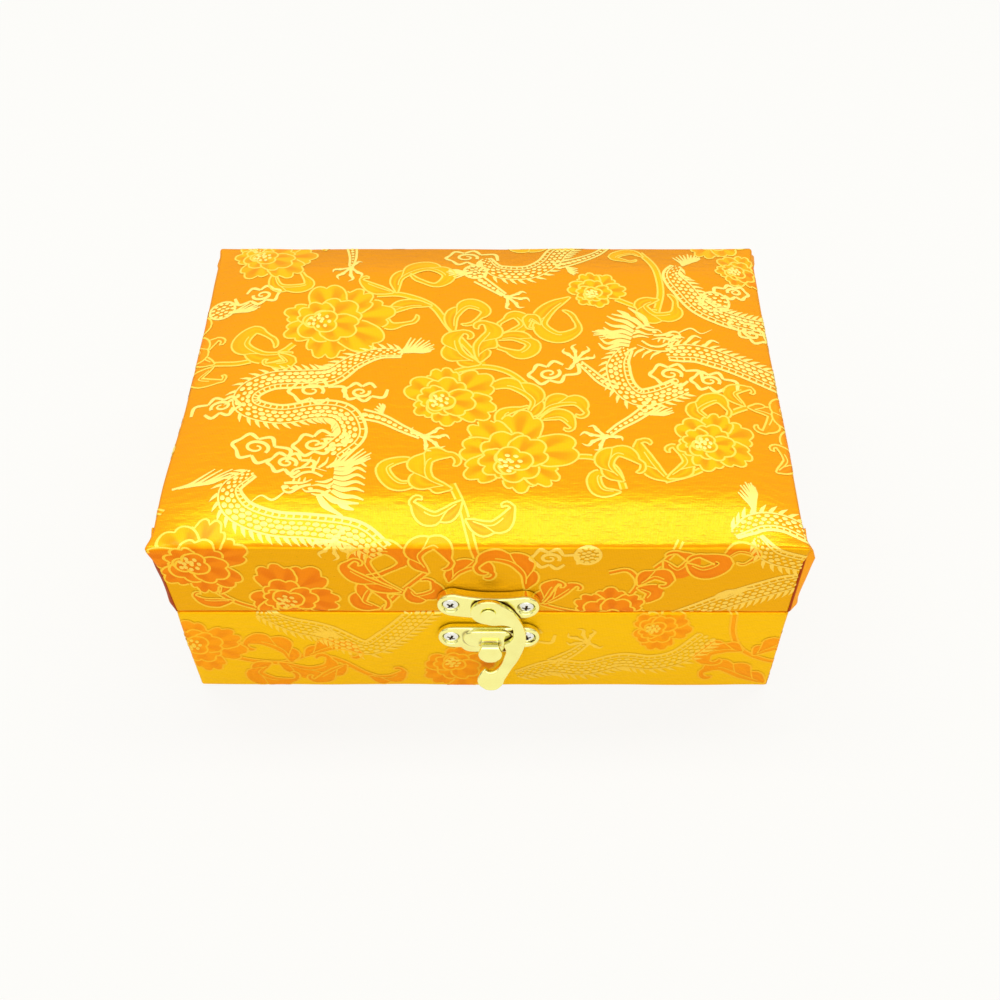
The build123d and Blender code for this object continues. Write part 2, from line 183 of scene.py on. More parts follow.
class Tray:
    """One half of the box, and how its sheet of cloth lies on it. Flat places on the sheet are counted in
    millimetres from the middle of the closed face, and the four flaps of the sheet are the walls."""

    def __init__(self, node, board_node, opens, crown=0.0, ears=None):
        low, high = corners(node)
        inner = corners(board_node)[1][1] - corners(board_node)[0][1]
        self.half = high[:2]
        self.opens = opens
        self.crown, self.ears = crown, ears
        self.level = (high[2] if opens < 0 else -low[2]) - crown
        self.height = high[2] - low[2] - crown
        self.rim = inner + 2 * cloth_thickness + 0.1
        self.run = self.path()

    def path(self):
        """Table of the cloth's way down the wall, round the rim and up the inner face: distance gone, drop,
        inset and turn."""
        way, drop, inset, turn = [[0.0], [0.0], [0.0], [0.0]]

        def go(length, down, inward, angle):
            way.append(way[-1] + length)
            drop.append(down)
            inset.append(inward)
            turn.append(angle)

        r, floor, thick = rim_edge, self.height, self.rim
        go(floor - r, floor - r, 0, 0)
        steps = [math.pi / 2 * k / 6 for k in range(1, 7)]
        for a in steps:
            go(r * steps[0], floor - r + r * math.sin(a), r - r * math.cos(a), a)
        go(thick - 2 * r, floor, thick - r, math.pi / 2)
        for a in steps:
            go(r * steps[0], floor - r + r * math.cos(a), thick - r + r * math.sin(a), math.pi / 2 + a)
        go(hem, floor - r - hem, thick, math.pi)
        return [np.array(column) for column in (way, drop, inset, turn)]

    def swell(self, x, y):
        """Height that the sponge gives the cloth, from nothing at the edges to its full rise inside."""
        rise = self.crown
        for place, half in ((x, self.half[0]), (y, self.half[1])):
            share = np.clip((half - np.abs(place)) / ease_run, 0, 1)
            rise = rise * (1 - (1 - share) ** ease_power)
        return rise

    def bow(self, y, drop):
        """How far the folded cloth under the left side pushes it out, most near the front and the top."""
        return bow_out * np.exp(-(((y - bow_middle) / bow_reach) ** 2)) * np.clip(1 - drop / bow_drop, 0, 1)

    def lay(self, flat, lift):
        """Where flat places come to lie on the tray, lifted off it by their own heights."""
        held = np.clip(flat, -self.half, self.half)
        gone = np.abs(flat - held).sum(axis=1)
        drop, inset, turn = [np.interp(gone, self.run[0], column) for column in self.run[1:]]
        sharp = np.column_stack([held, self.level - drop])
        core = sharp.copy()
        core[:, :2] = np.clip(sharp[:, :2], cloth_edge - self.half, self.half - cloth_edge)
        core[:, 2] = np.minimum(sharp[:, 2], self.level - cloth_edge)
        away = sharp - core
        away /= np.linalg.norm(away, axis=1, keepdims=True) + 1e-12
        laid = core + away * cloth_edge
        u, v = flat.T
        ripple = np.sin(u / 9.1 + 1.3) * np.sin(v / 11.7) + 0.6 * np.sin(u / 5.3 - v / 6.9)
        fine = 0.35 * np.sin(u / 3.1 + 2 * np.sin(v / 7.7)) * np.sin(v / 4.3 + u / 19)
        ripple = weave_wave * (ripple + fine)
        ripple *= np.clip(1 - inset, 0, 1)
        off = away * np.cos(turn)[:, None] + np.array([0, 0, -1]) * np.sin(turn)[:, None]
        laid[:, :2] *= (self.half - inset[:, None]) / self.half
        laid += off * (lift + ripple)[:, None]
        laid[:, 2] += self.swell(laid[:, 0], laid[:, 1]) * np.clip(1 - gone, 0, 1)
        if self.ears:
            near_edge = self.half - np.abs(sharp[:, :2])
            left = (sharp[:, 0] < 0) * np.exp(-((near_edge[:, 0] / 7) ** 2)) * np.cos(turn).clip(0, 1)
            laid[:, 0] -= left * self.bow(sharp[:, 1], drop)
            peak = np.column_stack([near_edge, drop * 0.6])
            ear = np.where(sharp[:, 1] > 0, self.ears[2], np.where(sharp[:, 0] < 0, *self.ears[:2]))
            ear = ear * np.exp(-((np.linalg.norm(peak, axis=1) / 3.4) ** 2))
            outward = np.column_stack([np.sign(sharp[:, 0]), np.sign(sharp[:, 1]) * 0.4, 0 * drop])
            laid += outward * ear[:, None]
        if self.opens > 0:
            laid[:, 2] *= -1
        return laid * mm


def ruled(half):
    """Places of a sheet's grid lines, from one edge of a face to the other, close together at the edges."""
    count = round((half - edge_stops[-1]) / sheet_pitch)
    one = [half - place for place in edge_stops]
    one += list(np.linspace(half - edge_stops[-1], 0, count + 1)[1:])
    return np.array([-place for place in one] + one[-2::-1])


def grid_faces(rows, columns, start=0):
    """Quads of a grid whose points run row by row."""
    at = start + np.arange(rows * columns).reshape(rows, columns)
    return np.stack([at[:-1, :-1], at[:-1, 1:], at[1:, 1:], at[1:, :-1]], -1).reshape(-1, 4)


def new_object(name, data):
    """New object in the scene."""
    piece = bpy.data.objects.new(name, data)
    bpy.context.scene.collection.objects.link(piece)
    return piece


def keep(mesh, name, values):
    """Keeps a number, or a vector, for each point of a mesh under that name."""
    values = np.asarray(values, float)
    kind, field = ("FLOAT_VECTOR", "vector") if values.ndim == 2 else ("FLOAT", "value")
    mesh.attributes.new(name, kind, "POINT").data.foreach_set(field, values.ravel())


def points_of(mesh):
    """Places of a mesh's points."""
    places = np.empty(len(mesh.vertices) * 3)
    mesh.vertices.foreach_get("co", places)
    return places.reshape(-1, 3)


def weld(mesh, distance):
    """Joins a mesh's points that lie together, and drops those that carry no face."""
    form = bmesh.new()
    form.from_mesh(mesh)
    bmesh.ops.remove_doubles(form, verts=form.verts, dist=distance)
    bmesh.ops.delete(form, geom=[v for v in form.verts if not v.link_faces], context="VERTS")
    form.to_mesh(mesh)
    form.free()


def solid_of(name, points, faces, finish, flat=None):
    """New smooth mesh object at the origin, with its places on the flat cloth kept as an attribute."""
    mesh = bpy.data.meshes.new(name)
    mesh.from_pydata(np.asarray(points).tolist(), [], [list(map(int, face)) for face in faces])
    if flat is not None:
        keep(mesh, "flat", np.column_stack([flat, np.zeros(len(flat))]) * mm)
    mesh.materials.append(finish)
    mesh.shade_smooth()
    return new_object(name, mesh)


def plain_mesh(piece):
    """Mesh of a piece as its modifiers leave it."""
    graph = bpy.context.evaluated_depsgraph_get()
    return bpy.data.meshes.new_from_object(piece.evaluated_get(graph), depsgraph=graph)


def applied(piece):
    """Makes the piece's modifiers part of its mesh."""
    mesh = plain_mesh(piece)
    mesh.name = piece.name
    piece.modifiers.clear()
    piece.data = mesh
    return piece


def cover(name, tray, finish, closed_face):
    """The sheet of cloth on one tray, with real thickness."""
    us, vs = ruled(tray.half[0]), ruled(tray.half[1])
    way = tray.run[0]
    wall = np.linspace(edge_stops[-1], tray.height - 3, round((tray.height - 6) / 2))[1:]
    near_rim = [tray.height - 2, tray.height - 1.3]
    ts = np.concatenate([edge_stops, wall, near_rim, way[1:-1], np.linspace(way[-2], way[-1], 6)[1:]])
    flats, faces, start = [], [], 0

    def patch(across, along):
        nonlocal start
        x, y = np.meshgrid(across, along)
        flats.append(np.column_stack([x.ravel(), y.ravel()]))
        faces.append(grid_faces(len(along), len(across), start))
        start += x.size

    patch(us, vs)
    if not closed_face:
        x, y = flats[0][faces[0]].mean(axis=1).T
        faces[0] = faces[0][(np.abs(x) > tray.half[0] - hem) | (np.abs(y) > tray.half[1] - hem)]
    patch(us, -tray.half[1] - ts[::-1])
    patch(us, tray.half[1] + ts)
    patch(-tray.half[0] - ts[::-1], vs)
    patch(tray.half[0] + ts, vs)
    flat, quads = np.vstack(flats), np.vstack(faces)
    points = tray.lay(flat, np.zeros(len(flat)))
    piece = solid_of(name, points, quads if tray.opens < 0 else quads[:, ::-1], finish, flat)
    weld(piece.data, 0.00001)
    thick = piece.modifiers.new("thickness", "SOLIDIFY")
    thick.thickness, thick.offset = cloth_thickness * mm, -1
    return applied(piece)


crinkle_height, gloss, gloss_roughness = 6.0, 0.12, 0.2
pick_pitch = 0.6
one_wave = 0.314


def brocade(name, top, wall, roughness, metallic, streak_and_shade=None, depth=1.0):
    """Silk thread: fine warp lines, uneven slubs, and painted light: a lit colour on the top and a shaded
    colour on the walls, mixed by which way the surface faces, in place of the two-tone weave's sheen.
    Streaked silk is painted deeper, as painted shade, where the top bends down at its two ends."""
    finish, shader, place = blank(name, roughness, metallic)
    shader.inputs["Specular IOR Level"].default_value = 0.14
    shader.inputs["Specular Tint"].default_value = colour(255, 205, 90)
    flat = place.own("flat", 1)
    normal = place.node("ShaderNodeTexCoord", None, None, "Normal")
    across, rise = [normal.node("ShaderNodeSeparateXYZ", None, {0: normal}, k) for k in (0, 2)]
    facing = rise.between(0.25, 0.85)
    waves = []
    for way, pitch in (("X", thread_pitch), ("Y", pick_pitch)):
        inputs = {"Vector": flat, "Scale": one_wave / (pitch * mm)}
        waves.append(flat.node("ShaderNodeTexWave", {"bands_direction": way}, inputs))
    warp, picks = waves
    slub = flat.noise(700, 2, (1, 6, 1))
    shade = flat.noise(28, 2)
    crinkle = flat.noise(210, 3, (1, 2.4, 1))
    # Painted light: a lit tone on faces that look up and a shaded tone on the walls, chosen by which way the
    # surface faces.
    tone = facing.mix(wall, top)
    if streak_and_shade:
        # Painted shade: where the top bends down at its left and right ends, the tone is pulled toward the
        # shaded wall tone.
        bent = (across * across).between(0.006, 0.06)
        facing = facing * (1 - bent * 0.75)
        # Mixes in the streak tones: woven streaks on the figures' fills, and painted groove shade on the
        # corner folds.
        tone = place.own("vein").mix(facing.mix(wall, top), facing.mix(streak_and_shade[1], streak_and_shade[0]))
    grain = warp * 0.35 + slub * 0.45 + shade * 0.2
    inputs = {0: 1.0, 6: tone, 7: (0.86, 0.78, 0.66, 1)}
    dark = tone.node("ShaderNodeMix", {"data_type": "RGBA", "blend_type": "MULTIPLY"}, inputs, 2)
    grain.mix(dark, tone).link(shader, "Base Color")
    (slub * 0.16 + (roughness - 0.08)).link(shader, "Roughness")
    relief = warp * 0.5 + picks * 0.2 + slub * 0.6 + crinkle * crinkle_height
    relief.bump(0.00005 * depth, 0.6).link(shader, "Normal")
    (rise.between(0.6, 0.95) * gloss).link(shader, "Coat Weight")
    shader.inputs["Coat Roughness"].default_value = gloss_roughness
    return finish


# Painted light: the satin ground's lit top tone and shaded wall tone. The base's walls get a yellower wall
# tone of their own, painted as lit by light bounced from the floor.
ground_top, ground_wall = colour(254, 168, 8), colour(238, 174, 16)
base_wall = colour(248, 196, 12)
base_ground = brocade("base_brocade_ground", ground_top, base_wall, 0.32, 0.5)
base_tray = Tray("base_brocade", "base_front_board", 1)
base_cover = cover("base_cloth", base_tray, base_ground, False)
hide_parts("base_brocade")
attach(base_cover, "base")


# Figures woven into the cloth.
# Bright silk floats lie on the satin ground: peonies and scrolling leaves with pale outlines round deeper
# fills, and dragons among clouds. Each figure stands a few hundredths of a millimetre proud.
line_step = 0.8
fill_lift = 0.045
layer_lift = 0.002
outline_lift = 0.09
thread_rise = 0.04
scale_length, scale_rise = 1.35, 0.12
outline_width = 0.62
creases = (1, 0.5, 0, -0.5, -1)


def flow(points, step=line_step):
    """Evenly spaced places on a smooth line through given ones."""
    knots = np.array(points, float)
    ring = np.vstack([2 * knots[0] - knots[1], knots, 2 * knots[-1] - knots[-2]])
    t = np.linspace(0, 1, 10, endpoint=False)[:, None]
    spans = []
    for a, b, c, d in zip(ring, ring[1:], ring[2:], ring[3:]):
        square, cube = 2 * a - 5 * b + 4 * c - d, 3 * b - a - 3 * c + d
        spans.append(b + 0.5 * ((c - a) * t + square * t**2 + cube * t**3))
    line = np.vstack(spans + [ring[-2:-1]])
    run = np.r_[0, np.cumsum(np.linalg.norm(np.diff(line, axis=0), axis=1))]
    even = np.linspace(0, run[-1], max(3, round(run[-1] / step) + 1))
    return np.column_stack([np.interp(even, run, line[:, k]) for k in (0, 1)])


def beside(line):
    """Unit vectors square to a line, on its left."""
    way = np.gradient(line, axis=0)
    way /= np.linalg.norm(way, axis=1, keepdims=True) + 1e-9
    return np.column_stack([-way[:, 1], way[:, 0]])


def toward(degrees, length=1.0):
    """Vector that points that way on the flat sheet."""
    return length * np.array([math.cos(math.radians(degrees)), math.sin(math.radians(degrees))])


def inside(points, ring):
    """Which places lie within a closed ring."""
    x, y = points[:, :1], points[:, 1:]
    (ax, ay), (bx, by) = ring.T, np.roll(ring, -1, axis=0).T
    crossed = ((ay > y) != (by > y)) & (x < (bx - ax) * (y - ay) / (by - ay + 1e-12) + ax)
    return crossed.sum(axis=1) % 2 == 1


class Loom:
    """Figures drawn on one flat sheet, kept apart by the thread that weaves them. A leaf covers the stems
    under it, and a petal covers the leaves and petals under it."""

    def __init__(self, seed):
        self.lines = {"outline": [], "dragon": []}
        self.shapes, self.scales = [], []
        self.turn, self.shift, self.span = np.eye(2), np.zeros(2), math.inf
        self.chance = np.random.default_rng(seed)

    def placed(self, points):
        return np.asarray(points, float) @ self.turn.T + self.shift

    def fits(self, points):
        """Whether a figure lies on the flap that is being woven, and not past its ends."""
        return abs(np.mean(points, axis=0)[0]) < self.span

    def line(self, thread, points, width, level=0.06, ends=(1, 1)):
        """A float of one thread. Its width tapers to the shares given for its two ends."""
        share = np.linspace(0, 1, len(points))
        start, end = ends
        taper = np.minimum(1, start + (1 - start) * share * 3)
        taper = taper * np.minimum(1, end + (1 - end) * (1 - share) * 1.6)
        points = np.asarray(points, float)
        kept = np.abs(points[:, 0]) < self.span
        if kept.sum() > 2:
            self.lines[thread].append((self.placed(points[kept]), width / 2 * taper[kept], level))

    def shape(self, layer, ring, grid, vein, strokes):
        """A filled patch: its edge, the rows of places that fill it, their streaks, and its outlines."""
        if not self.fits(ring):
            return
        strokes = [(self.placed(points), width) for points, width in strokes]
        self.shapes.append((layer, self.placed(ring), self.placed(grid), vein, strokes))

    def settle(self):
        """Keeps the outlines that no higher shape covers, and returns the fills with their levels."""
        self.shapes.sort(key=lambda shape: shape[0])
        boxes = [(ring.min(axis=0), ring.max(axis=0)) for _, ring, *_ in self.shapes]
        fills = []
        for k, (layer, ring, grid, vein, strokes) in enumerate(self.shapes):
            low, high = boxes[k]
            above = []
            for j in range(k + 1, len(boxes)):
                if (boxes[j][0] < high).all() and (boxes[j][1] > low).all():
                    above.append(self.shapes[j][1])
            for points, width in strokes:
                shown = np.ones(len(points), bool)
                for cover_ring in above:
                    shown &= ~inside(points, cover_ring)
                cuts = np.flatnonzero(np.diff(shown)) + 1
                for part in np.split(np.arange(len(points)), cuts):
                    if shown[part[0]] and len(part) > 2:
                        halves = np.full(len(part), width / 2)
                        self.lines["outline"].append((points[part], halves, outline_lift))
            fills.append((grid, fill_lift + layer_lift * layer, vein))
        return fills

    def scale(self, place, way, size, level=0.07):
        if abs(place[0]) > self.span:
            return
        angle = math.atan2(*(self.turn @ way)[::-1])
        self.scales.append((*(self.turn @ place + self.shift), level, angle, size))

    def petal(self, root, heading, length, width, layer, lobes):
        """A broad oval petal with a scalloped far edge and streaks that run out from its root."""
        round_way = np.linspace(-0.88, 0.88, 37) * math.pi
        wave = np.cos if lobes % 2 else np.sin
        cusp = 1 - np.abs(wave(0.9 * lobes * round_way))
        notch = 1 - 0.17 * cusp**1.5 * np.clip(np.cos(round_way) + 0.5, 0, 1)
        ahead, aside = toward(heading, length), toward(heading + 90, width / 2)
        root = np.asarray(root, float)
        edge = root + ahead * ((0.46 + 0.54 * np.cos(round_way)) * notch)[:, None]
        edge = edge + aside * (np.sin(round_way) * notch)[:, None]
        heart = root + ahead * 0.07
        depths = (0.04, 0.35, 0.68, 1.0)
        streak_and_shade = np.clip(0.5 + 0.85 * np.sin(round_way * 3.6 + self.chance.uniform(0, 6)), 0, 1)
        vein = np.stack([streak_and_shade * share for share in (0.7, 1.0, 0.9, 0.35)])
        grid = [heart + (edge - heart) * depth for depth in depths]
        self.shape(layer, edge, grid, vein, [(edge, outline_width)])

    def flower(self, middle, radius, turn=0.0, petals=6):
        """A peony seen a little from one side: rings of scalloped petals, a cup, and a cluster of stamens."""
        middle = np.array(middle, float)
        layer = 6
        rings = ((petals, 0.3, 0.74, 4.9), (4, 0.04, 0.62, 3.2), (3, -0.1, 0.42, 1.8))
        for ring, (count, root, length, spread) in enumerate(rings):
            hub = middle - toward(turn, 0.1 * radius * ring)
            for k in range(count):
                lean = 360 / count * (k + 0.5 * ring) + self.chance.uniform(-13, 13)
                size = radius * (1 + 0.13 * math.cos(math.radians(lean))) * self.chance.uniform(0.86, 1.08)
                lobes = (3, 4, 2, 3)[k % 4] if ring < 2 else 2
                place = hub + toward(turn + lean, root * radius)
                self.petal(place, turn + lean, length * size, spread / count * size, layer, lobes)
                layer += 1
        for k in range(12):
            place = hub + toward(turn + 50 * k, radius * 0.055 * (0.4 + math.sqrt(k)))
            self.scale(place, toward(turn + 90), 0.4 + 0.012 * radius, 0.12)

    def leaf(self, points, width, lobes=3):
        """A scrolling leaf: lobed on its outer side, with its tip rolled up into a bud."""
        way = np.diff(np.array(points, float), axis=0)
        cross = way[:-1, 0] * way[1:, 1] - way[:-1, 1] * way[1:, 0]
        turning = np.degrees(np.arctan2(cross, (way[:-1] * way[1:]).sum(axis=1))).sum()
        sense, curl = 1 if turning > 0 else -1, np.clip(290 - abs(turning), 45, 200)
        knots = [np.array(point, float) for point in points]
        heading = math.degrees(math.atan2(way[-1, 1], way[-1, 0]))
        for k in range(4):
            heading += sense * curl / 4
            knots.append(knots[-1] + toward(heading, width * (0.34 - 0.04 * k)))
        spine = flow(knots, 0.62)
        share = np.linspace(0, 1, len(spine))
        stops = (0, 0.1, 0.3, 0.5, 0.68, 0.82, 0.92, 0.98, 1)
        body = 0.66 * width * np.interp(share, stops, (0.2, 0.6, 1.0, 0.95, 0.66, 0.4, 0.44, 0.3, 0.05))
        lobed = lobes * np.clip(share / 0.76, 0, 1)
        frill = np.abs(np.sin(math.pi * lobed)) ** 0.6 * (share < 0.76)
        square = beside(spine) * sense
        outer = spine - square * (body * (0.6 + 0.75 * frill))[:, None]
        inner = spine + square * (body * 0.62)[:, None]
        ring = np.vstack([outer, inner[::-1], outer[:1]])
        streak_and_shade = np.array([0, 0.8, 0.1, 0.9, 0.3, 0])[:, None] * (0.6 + 0.4 * np.sin(share * 9))
        grid = [outer + (inner - outer) * k / 5 for k in range(6)]
        strokes = [(ring, outline_width)]
        start, end = len(spine) // 10, int(0.62 * len(spine))
        strokes.append(((spine + square * (body * 0.12)[:, None])[start:end], 0.4))
        for lobe in range(1, lobes):
            k = int(np.argmin(np.abs(lobed - lobe)))
            foot = spine[max(0, k - 5)] + square[max(0, k - 5)] * body[k] * 0.1
            strokes.append((flow([foot, (foot + outer[k]) / 2 + square[k] * 0.15, outer[k]], 0.5), 0.4))
        self.shape(1 + len(self.shapes) % 4, ring, grid, streak_and_shade, strokes)

    def stem(self, points, width=1.5):
        """A vine with an outline on both sides."""
        spine = flow(points)
        square = beside(spine) * width / 2
        ring = np.vstack([spine + square, (spine - square)[::-1]])
        strokes = [(spine + square * k, outline_width) for k in (1, -1)]
        self.shape(0, ring, [spine + square * k for k in (1, 0, -1)], np.zeros((3, len(spine))), strokes)

    def cloud(self, middle, size, turn=0.0, mirror=1):
        """A cloud of round lobes that meet in points, open at its tail, with a spiral inside."""
        middle = np.array(middle, float)
        ahead, up = toward(turn, size), toward(turn + 90, size * mirror)
        points = [(1.5, -0.5), (0.72, 0.22), (-0.08, 0.46), (-0.78, 0.26), (-0.72, -0.34)]
        points += [(0.0, -0.5), (0.8, -0.52)]
        for (ax, ay), (bx, by) in zip(points, points[1:]):
            knots = [(ax, ay), ((ax + bx) / 2 + 0.42 * (by - ay), (ay + by) / 2 - 0.42 * (bx - ax)), (bx, by)]
            places = [middle + ahead * x + up * y for x, y in knots]
            self.line("dragon", flow(places, 0.5), 1.2, 0.06, (0.7, 0.7))
        turns = np.linspace(-0.5, 2.5 * math.pi, 18)
        reach = np.linspace(0.56, 0.12, 18)
        spiral = zip(reach * np.cos(turns), 0.74 * reach * np.sin(turns))
        curl = [middle + ahead * x + up * (y - 0.02) for x, y in spiral]
        self.line("dragon", flow(curl, 0.5), 1.15, 0.06, (0.9, 0.5))

    def tuft(self, root, heading, length, spread=45, count=9):
        """A plume: thick hairs side by side on a short base line, bowed the same way."""
        root = np.array(root, float)
        for k in range(count):
            share = k / (count - 1)
            foot = root + toward(heading - 12, 0.5 * length * share)
            lean = heading + spread * (0.8 - 1.1 * share)
            reach = length * (0.8 - 0.9 * (share - 0.3) ** 2) * (0.96 + 0.04 * (-1) ** k)
            places = [foot + toward(lean - 34 * (1 - part) ** 2, part * reach) for part in (0, 0.35, 0.7, 1)]
            self.line("dragon", flow(places, 0.6), 0.95, 0.07, (0.8, 0.45))

    def claw(self, wrist, heading, size=6.6):
        """A paw with five hooked talons."""
        wrist = np.array(wrist, float)
        self.scale(wrist, toward(heading), 1.0, 0.08)
        for lean, reach in ((-70, 1.0), (-30, 1.15), (8, 1.15), (46, 1.0), (160, 0.85)):
            sense = -1 if lean < 0 else 1
            knuckle = wrist + toward(heading + lean, size * reach * 0.52)
            bend = knuckle + toward(heading + lean * 0.8 + sense * 22, size * reach * 0.28)
            tip = bend + toward(heading + lean * 0.8 - sense * 50, size * reach * 0.24)
            self.line("dragon", [wrist, (wrist + knuckle) / 2, knuckle], 0.95, 0.08)
            self.line("dragon", flow([knuckle, bend, tip], 0.5), 1.1, 0.08, (0.9, 0.15))
            self.scale(knuckle, toward(heading + lean), 0.72, 0.09)

    def leg(self, points, width=3.8):
        """A lean leg: two edges with rows of scales between them."""
        spine = flow(points, 0.95)
        share = np.linspace(1, 0.42, len(spine))[:, None] * width / 2
        square = beside(spine)
        for k in (1, -1):
            self.line("dragon", spine + square * share * k, 0.8, 0.08)
        for place, way, wide in zip(spine[1::2], square[1::2], share[1::2]):
            self.scale(place, (way[1], -way[0]), min(0.8, 0.46 * wide[0]))

    def serpent(self, points, width=7.4, fin=1, slim=(0.5, 1.0)):
        """A dragon's body: barred belly, rows of scales, and a comb of flaming fins along its back."""
        spine = flow(points, 1.05)
        share = np.linspace(0, 1, len(spine))
        half = width / 2 * np.minimum(1, slim[0] + share * 2.2) * np.minimum(1, slim[1] + (1 - share) * 2.2)
        square = beside(spine) * fin
        way = np.column_stack([square[:, 1], -square[:, 0]]) * fin
        for offset, thread in ((0.92, 0.5), (-1.0, 0.9), (-0.55, 0.5)):
            self.line("dragon", spine + square * (half * offset)[:, None], thread, 0.07)
        for k in range(0, len(spine), 2):
            low, high = spine[k] - square[k] * half[k], spine[k] - square[k] * half[k] * 0.55
            self.line("dragon", [low, (low + high) / 2 + way[k] * 0.25, high], 0.5, 0.06)
        for row, (offset, size) in enumerate(((-0.2, 0.18), (0.18, 0.2), (0.58, 0.22))):
            for k in range(row % 2, len(spine), 2):
                grow = self.chance.uniform(0.75, 1.12)
                self.scale(spine[k] + square[k] * half[k] * offset, way[k], min(size * half[k], 0.74) * grow)
        for k in range(1, len(spine) - 1, 2):
            foot = spine[k] + square[k] * half[k] * 0.95
            tip = foot + square[k] * 2.4 + way[k] * 1.9
            flame = [foot - way[k] * 0.3, (foot + tip) / 2 - way[k] * 0.35, tip]
            self.line("dragon", flame, 1.15, 0.07, (1, 0.08))

    def head(self, place, heading, size=9.0, mirror=1):
        """A dragon's head seen from the side, with horns, mane, beard and one long whisker."""
        place = np.array(place, float)
        ahead, up = toward(heading, size), toward(heading + 90, size * mirror)
        face = [
            [(0.02, 0.46), (0.3, 0.68), (0.58, 0.62)],
            [(0.2, 0.56), (0.46, 0.5), (0.72, 0.54), (0.86, 0.42)],
            [(-0.02, 0.2), (0.16, 0.32), (0.4, 0.26), (0.6, 0.3)],
            [(0.0, 0.02), (0.22, 0.14), (0.5, 0.12)],
            [(0.62, 0.26), (0.8, 0.3), (1.0, 0.4), (1.16, 0.56), (1.34, 0.56), (1.44, 0.4), (1.34, 0.28)],
            [(1.42, 0.2), (1.14, 0.18), (0.86, 0.18), (0.6, 0.04)],
            [(1.0, 0.3), (1.2, 0.42), (1.26, 0.36)],
        ]
        jaw = [(0.3, -0.08), (0.62, -0.26), (0.92, -0.22), (1.12, -0.04)]
        jaw += [(1.26, -0.14), (1.14, -0.38), (0.7, -0.46), (0.2, -0.3)]
        horns = [[(0.2, 0.62), (-0.2, 0.9), (-0.85, 0.98)], [(0.36, 0.7), (0.1, 1.08), (-0.4, 1.42)]]
        horns += [[(-0.25, 0.92), (-0.5, 1.12), (-0.72, 1.2)]]
        whisker = [(1.38, 0.58), (1.7, 0.86), (2.05, 0.7), (2.35, 0.98)]
        mane = []
        for y in (0.5, 0.3, 0.12, -0.06, -0.24, -0.4):
            back = [(-0.7, y * 1.6 - 0.06), (-0.98, y * 1.5 + 0.1)]
            mane.append([(-0.02, y), (-0.35, y * 1.25 + 0.08), *back])
        beard = [[(x, -0.44), (x - 0.2, -0.66), (x - 0.26, -0.9)] for x in (0.2, 0.46, 0.72, 0.98)]
        teeth = [[(x, 0.14), (x - 0.02, 0.04), (x - 0.03, -0.04)] for x in (0.84, 1.0, 1.16)]
        strokes = [(stroke, 1.15) for stroke in face] + [(jaw, 1.0), (whisker, 0.7)]
        strokes += [(stroke, 2.0) for stroke in horns] + [(stroke, 1.75) for stroke in mane]
        strokes += [(stroke, 1.0) for stroke in beard] + [(stroke, 0.7) for stroke in teeth]
        for points, width in strokes:
            places = np.array([place + ahead * x + up * y for x, y in points])
            self.line("dragon", flow(places, 0.6), width, 0.08, (0.7, 0.25))
        for x, y, wide in ((0.62, 0.42, 0.55), (1.38, 0.36, 0.8), (0.1, 0.36, 0.6)):
            self.scale(place + ahead * x + up * y, toward(heading), wide, 0.09)

    def haunch(self, middle, radius, way):
        """A rounded hip full of scales."""
        middle = np.array(middle, float)
        self.line("dragon", [middle + toward(a, radius) for a in range(0, 361, 20)], 0.85, 0.08)
        for ring, count in ((0.0, 1), (0.4, 6), (0.78, 11)):
            for k in range(count):
                place = middle + toward(360 / count * k + 50 * ring, radius * ring)
                self.scale(place, toward(way), 0.42 + 0.03 * radius, 0.08)

    def draw(self, figures, origin, sense):
        """Draws a wall's figures. Each has its kind, its places and its sizes, and the places' heights are
        counted from origin on the sheet, in the direction of sense."""
        for kind, places, *sizes in figures:
            places = [(x, origin + sense * z) for x, z in places]
            getattr(self, kind)(places if len(places) > 1 else places[0], *sizes)


def socket_tree(name, sockets):
    """New Geometry Nodes tree with named inputs, its entry, and its exit node."""
    tree = bpy.data.node_groups.new(name, "GeometryNodeTree")
    tree.interface.new_socket("Geometry", in_out="INPUT", socket_type="NodeSocketGeometry")
    for label, kind in sockets:
        tree.interface.new_socket(label, in_out="INPUT", socket_type=kind)
    tree.interface.new_socket("Geometry", in_out="OUTPUT", socket_type="NodeSocketGeometry")
    entry = tree.nodes.new("NodeGroupInput")
    return tree, {socket.name: Tint(socket) for socket in entry.outputs if socket.name}


def close_tree(tree, geometry, finish):
    """Ends a tree in realized geometry with its material on."""
    real = geometry.node("GeometryNodeRealizeInstances", None, {0: geometry})
    painted = real.node("GeometryNodeSetMaterial", None, {"Geometry": real, "Material": finish})
    tree.links.new(painted.socket, tree.nodes.new("NodeGroupOutput").inputs[0])


def run_tree(piece, tree, values):
    """Puts a tree on a piece, sets its named inputs, and returns the plain mesh that it makes."""
    stage = piece.modifiers.new("tree", "NODES")
    stage.node_group = tree
    for item in tree.interface.items_tree:
        if item.item_type == "SOCKET" and item.in_out == "INPUT" and item.name in values:
            stage[item.identifier] = values[item.name]
    bpy.context.scene.collection.objects.link(piece)
    mesh = plain_mesh(piece)
    bpy.data.objects.remove(piece)
    return mesh


